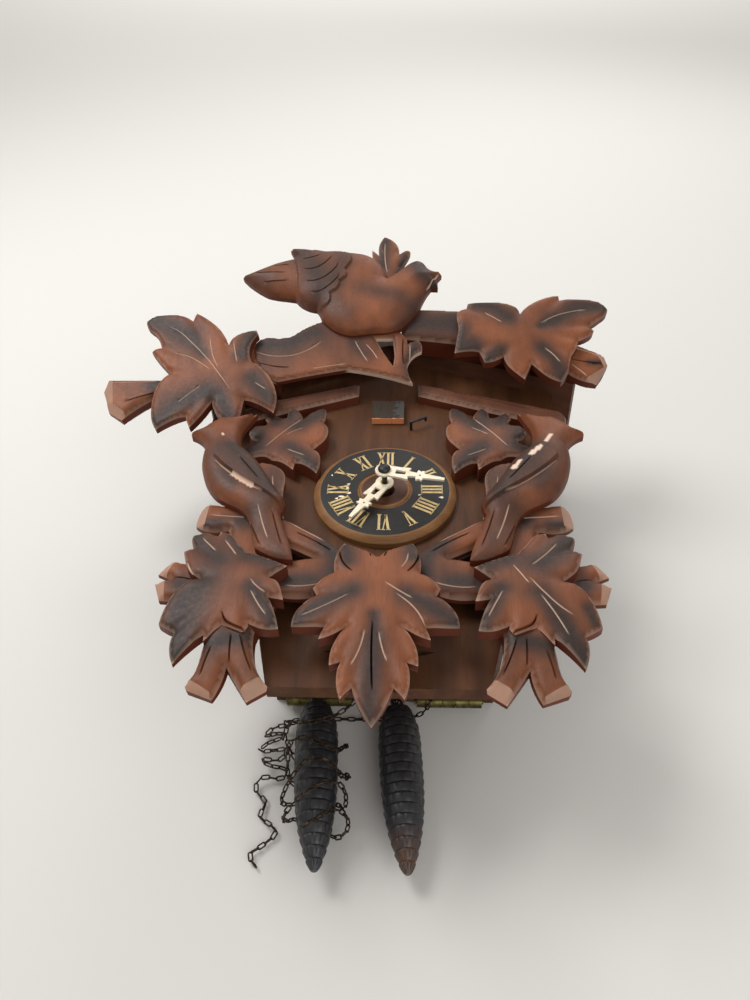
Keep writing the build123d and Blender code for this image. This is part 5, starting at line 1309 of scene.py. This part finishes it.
def build_bellows():
    """The pleated cloth under each lid."""
    levels, parts = 17, 40
    faces = [f[:1] + f[:0:-1] for f in ring_faces(levels, parts)]
    for side, middle in (("right", CLOTH_X), ("left", -CLOTH_X)):
        points = []
        for i in range(levels):
            y = CLOTH_LOW + CLOTH_TALL * i / (levels - 1)
            fold = PLEAT * abs(math.sin(math.tau * i / (levels - 1)))
            for k in range(parts):
                c, s = math.cos(math.tau * k / parts), math.sin(math.tau * k / parts)
                points.append((middle + (CLOTH_HALF_X - fold) * math.copysign(abs(c) ** 0.25, c), y,
                               CLOTH_Z + (CLOTH_HALF_Z - fold) * math.copysign(abs(s) ** 0.25, s)))
        add_piece("bellows_cloth_" + side, points, faces, "cloth", "case",
                  stands_for_both("bellows_cloths", side))


# Stage, in metres


def build_stage():
    """A plain floor and an even light all round."""
    mesh = bpy.data.meshes.new("floor")
    corners = [(-4, -4), (4, -4), (4, 4), (-4, 4)]
    mesh.from_pydata([(x, y, -0.0004) for x, y in corners], [], [[0, 1, 2, 3]])
    mesh.materials.append(Shader("floor_paint", 0.9).done((214, 211, 206)))
    floor = add_object("floor", mesh)
    world = bpy.data.worlds.new("studio")
    world.use_nodes = True
    background = world.node_tree.nodes["Background"].inputs
    background[0].default_value = (0.95, 0.94, 0.92, 1)
    background[1].default_value = 0.45
    bpy.context.scene.world = world


def add_lamp(name, place, size, power, aim=(0, 0, 0.08)):
    lamp = bpy.data.lights.new(name, "AREA")
    lamp.size = size
    lamp.energy = power
    made = add_object(name, lamp)
    made.location = place
    made.rotation_euler = (Vector(aim) - Vector(place)).to_track_quat("-Z", "Y").to_euler()


def add_camera():
    """The photograph's view: close, from below the dial's foot, looking up the clock."""
    level = math.cos(ELEVATION)
    back = Vector((math.sin(AZIMUTH) * level, -math.cos(AZIMUTH) * level, math.sin(ELEVATION)))
    right = Vector((math.cos(AZIMUTH), math.sin(AZIMUTH), 0))
    up = back.cross(right)
    across = right * math.cos(ROLL) + up * math.sin(ROLL)
    upright = up * math.cos(ROLL) - right * math.sin(ROLL)
    data = bpy.data.cameras.new("camera")
    data.sensor_fit = "HORIZONTAL"
    data.sensor_width = SENSOR
    data.lens = SENSOR * PHOTO_FOCAL / PHOTO_WIDTH
    data.clip_start = 0.01
    camera = add_object("camera", data)
    place = Matrix.Translation(CAMERA_AIM + back * CAMERA_FAR)
    camera.matrix_world = place @ Matrix((across, upright, back)).transposed().to_4x4()
    bpy.context.scene.camera = camera


finish_nodes()
build_leaves()
build_branches()
build_birds()
build_dial()
cone("weight_right", WEIGHT_RIGHT, True)
cone("weight_left", WEIGHT_LEFT, False)
build_chains()
build_bellows()
build_stage()
add_lamp("key", (-0.6, 0.35, 1.1), 0.6, 11)
add_lamp("fill", (0.5, -0.9, 0.8), 0.9, 5)
add_lamp("rim", (0.3, 0.9, 0.7), 0.7, 3)
add_lamp("wash", (0, 2.6, 1.6), 2.0, 45, (0, 3.4, 0))
add_camera()
bpy.context.scene.view_settings.view_transform = "Standard"
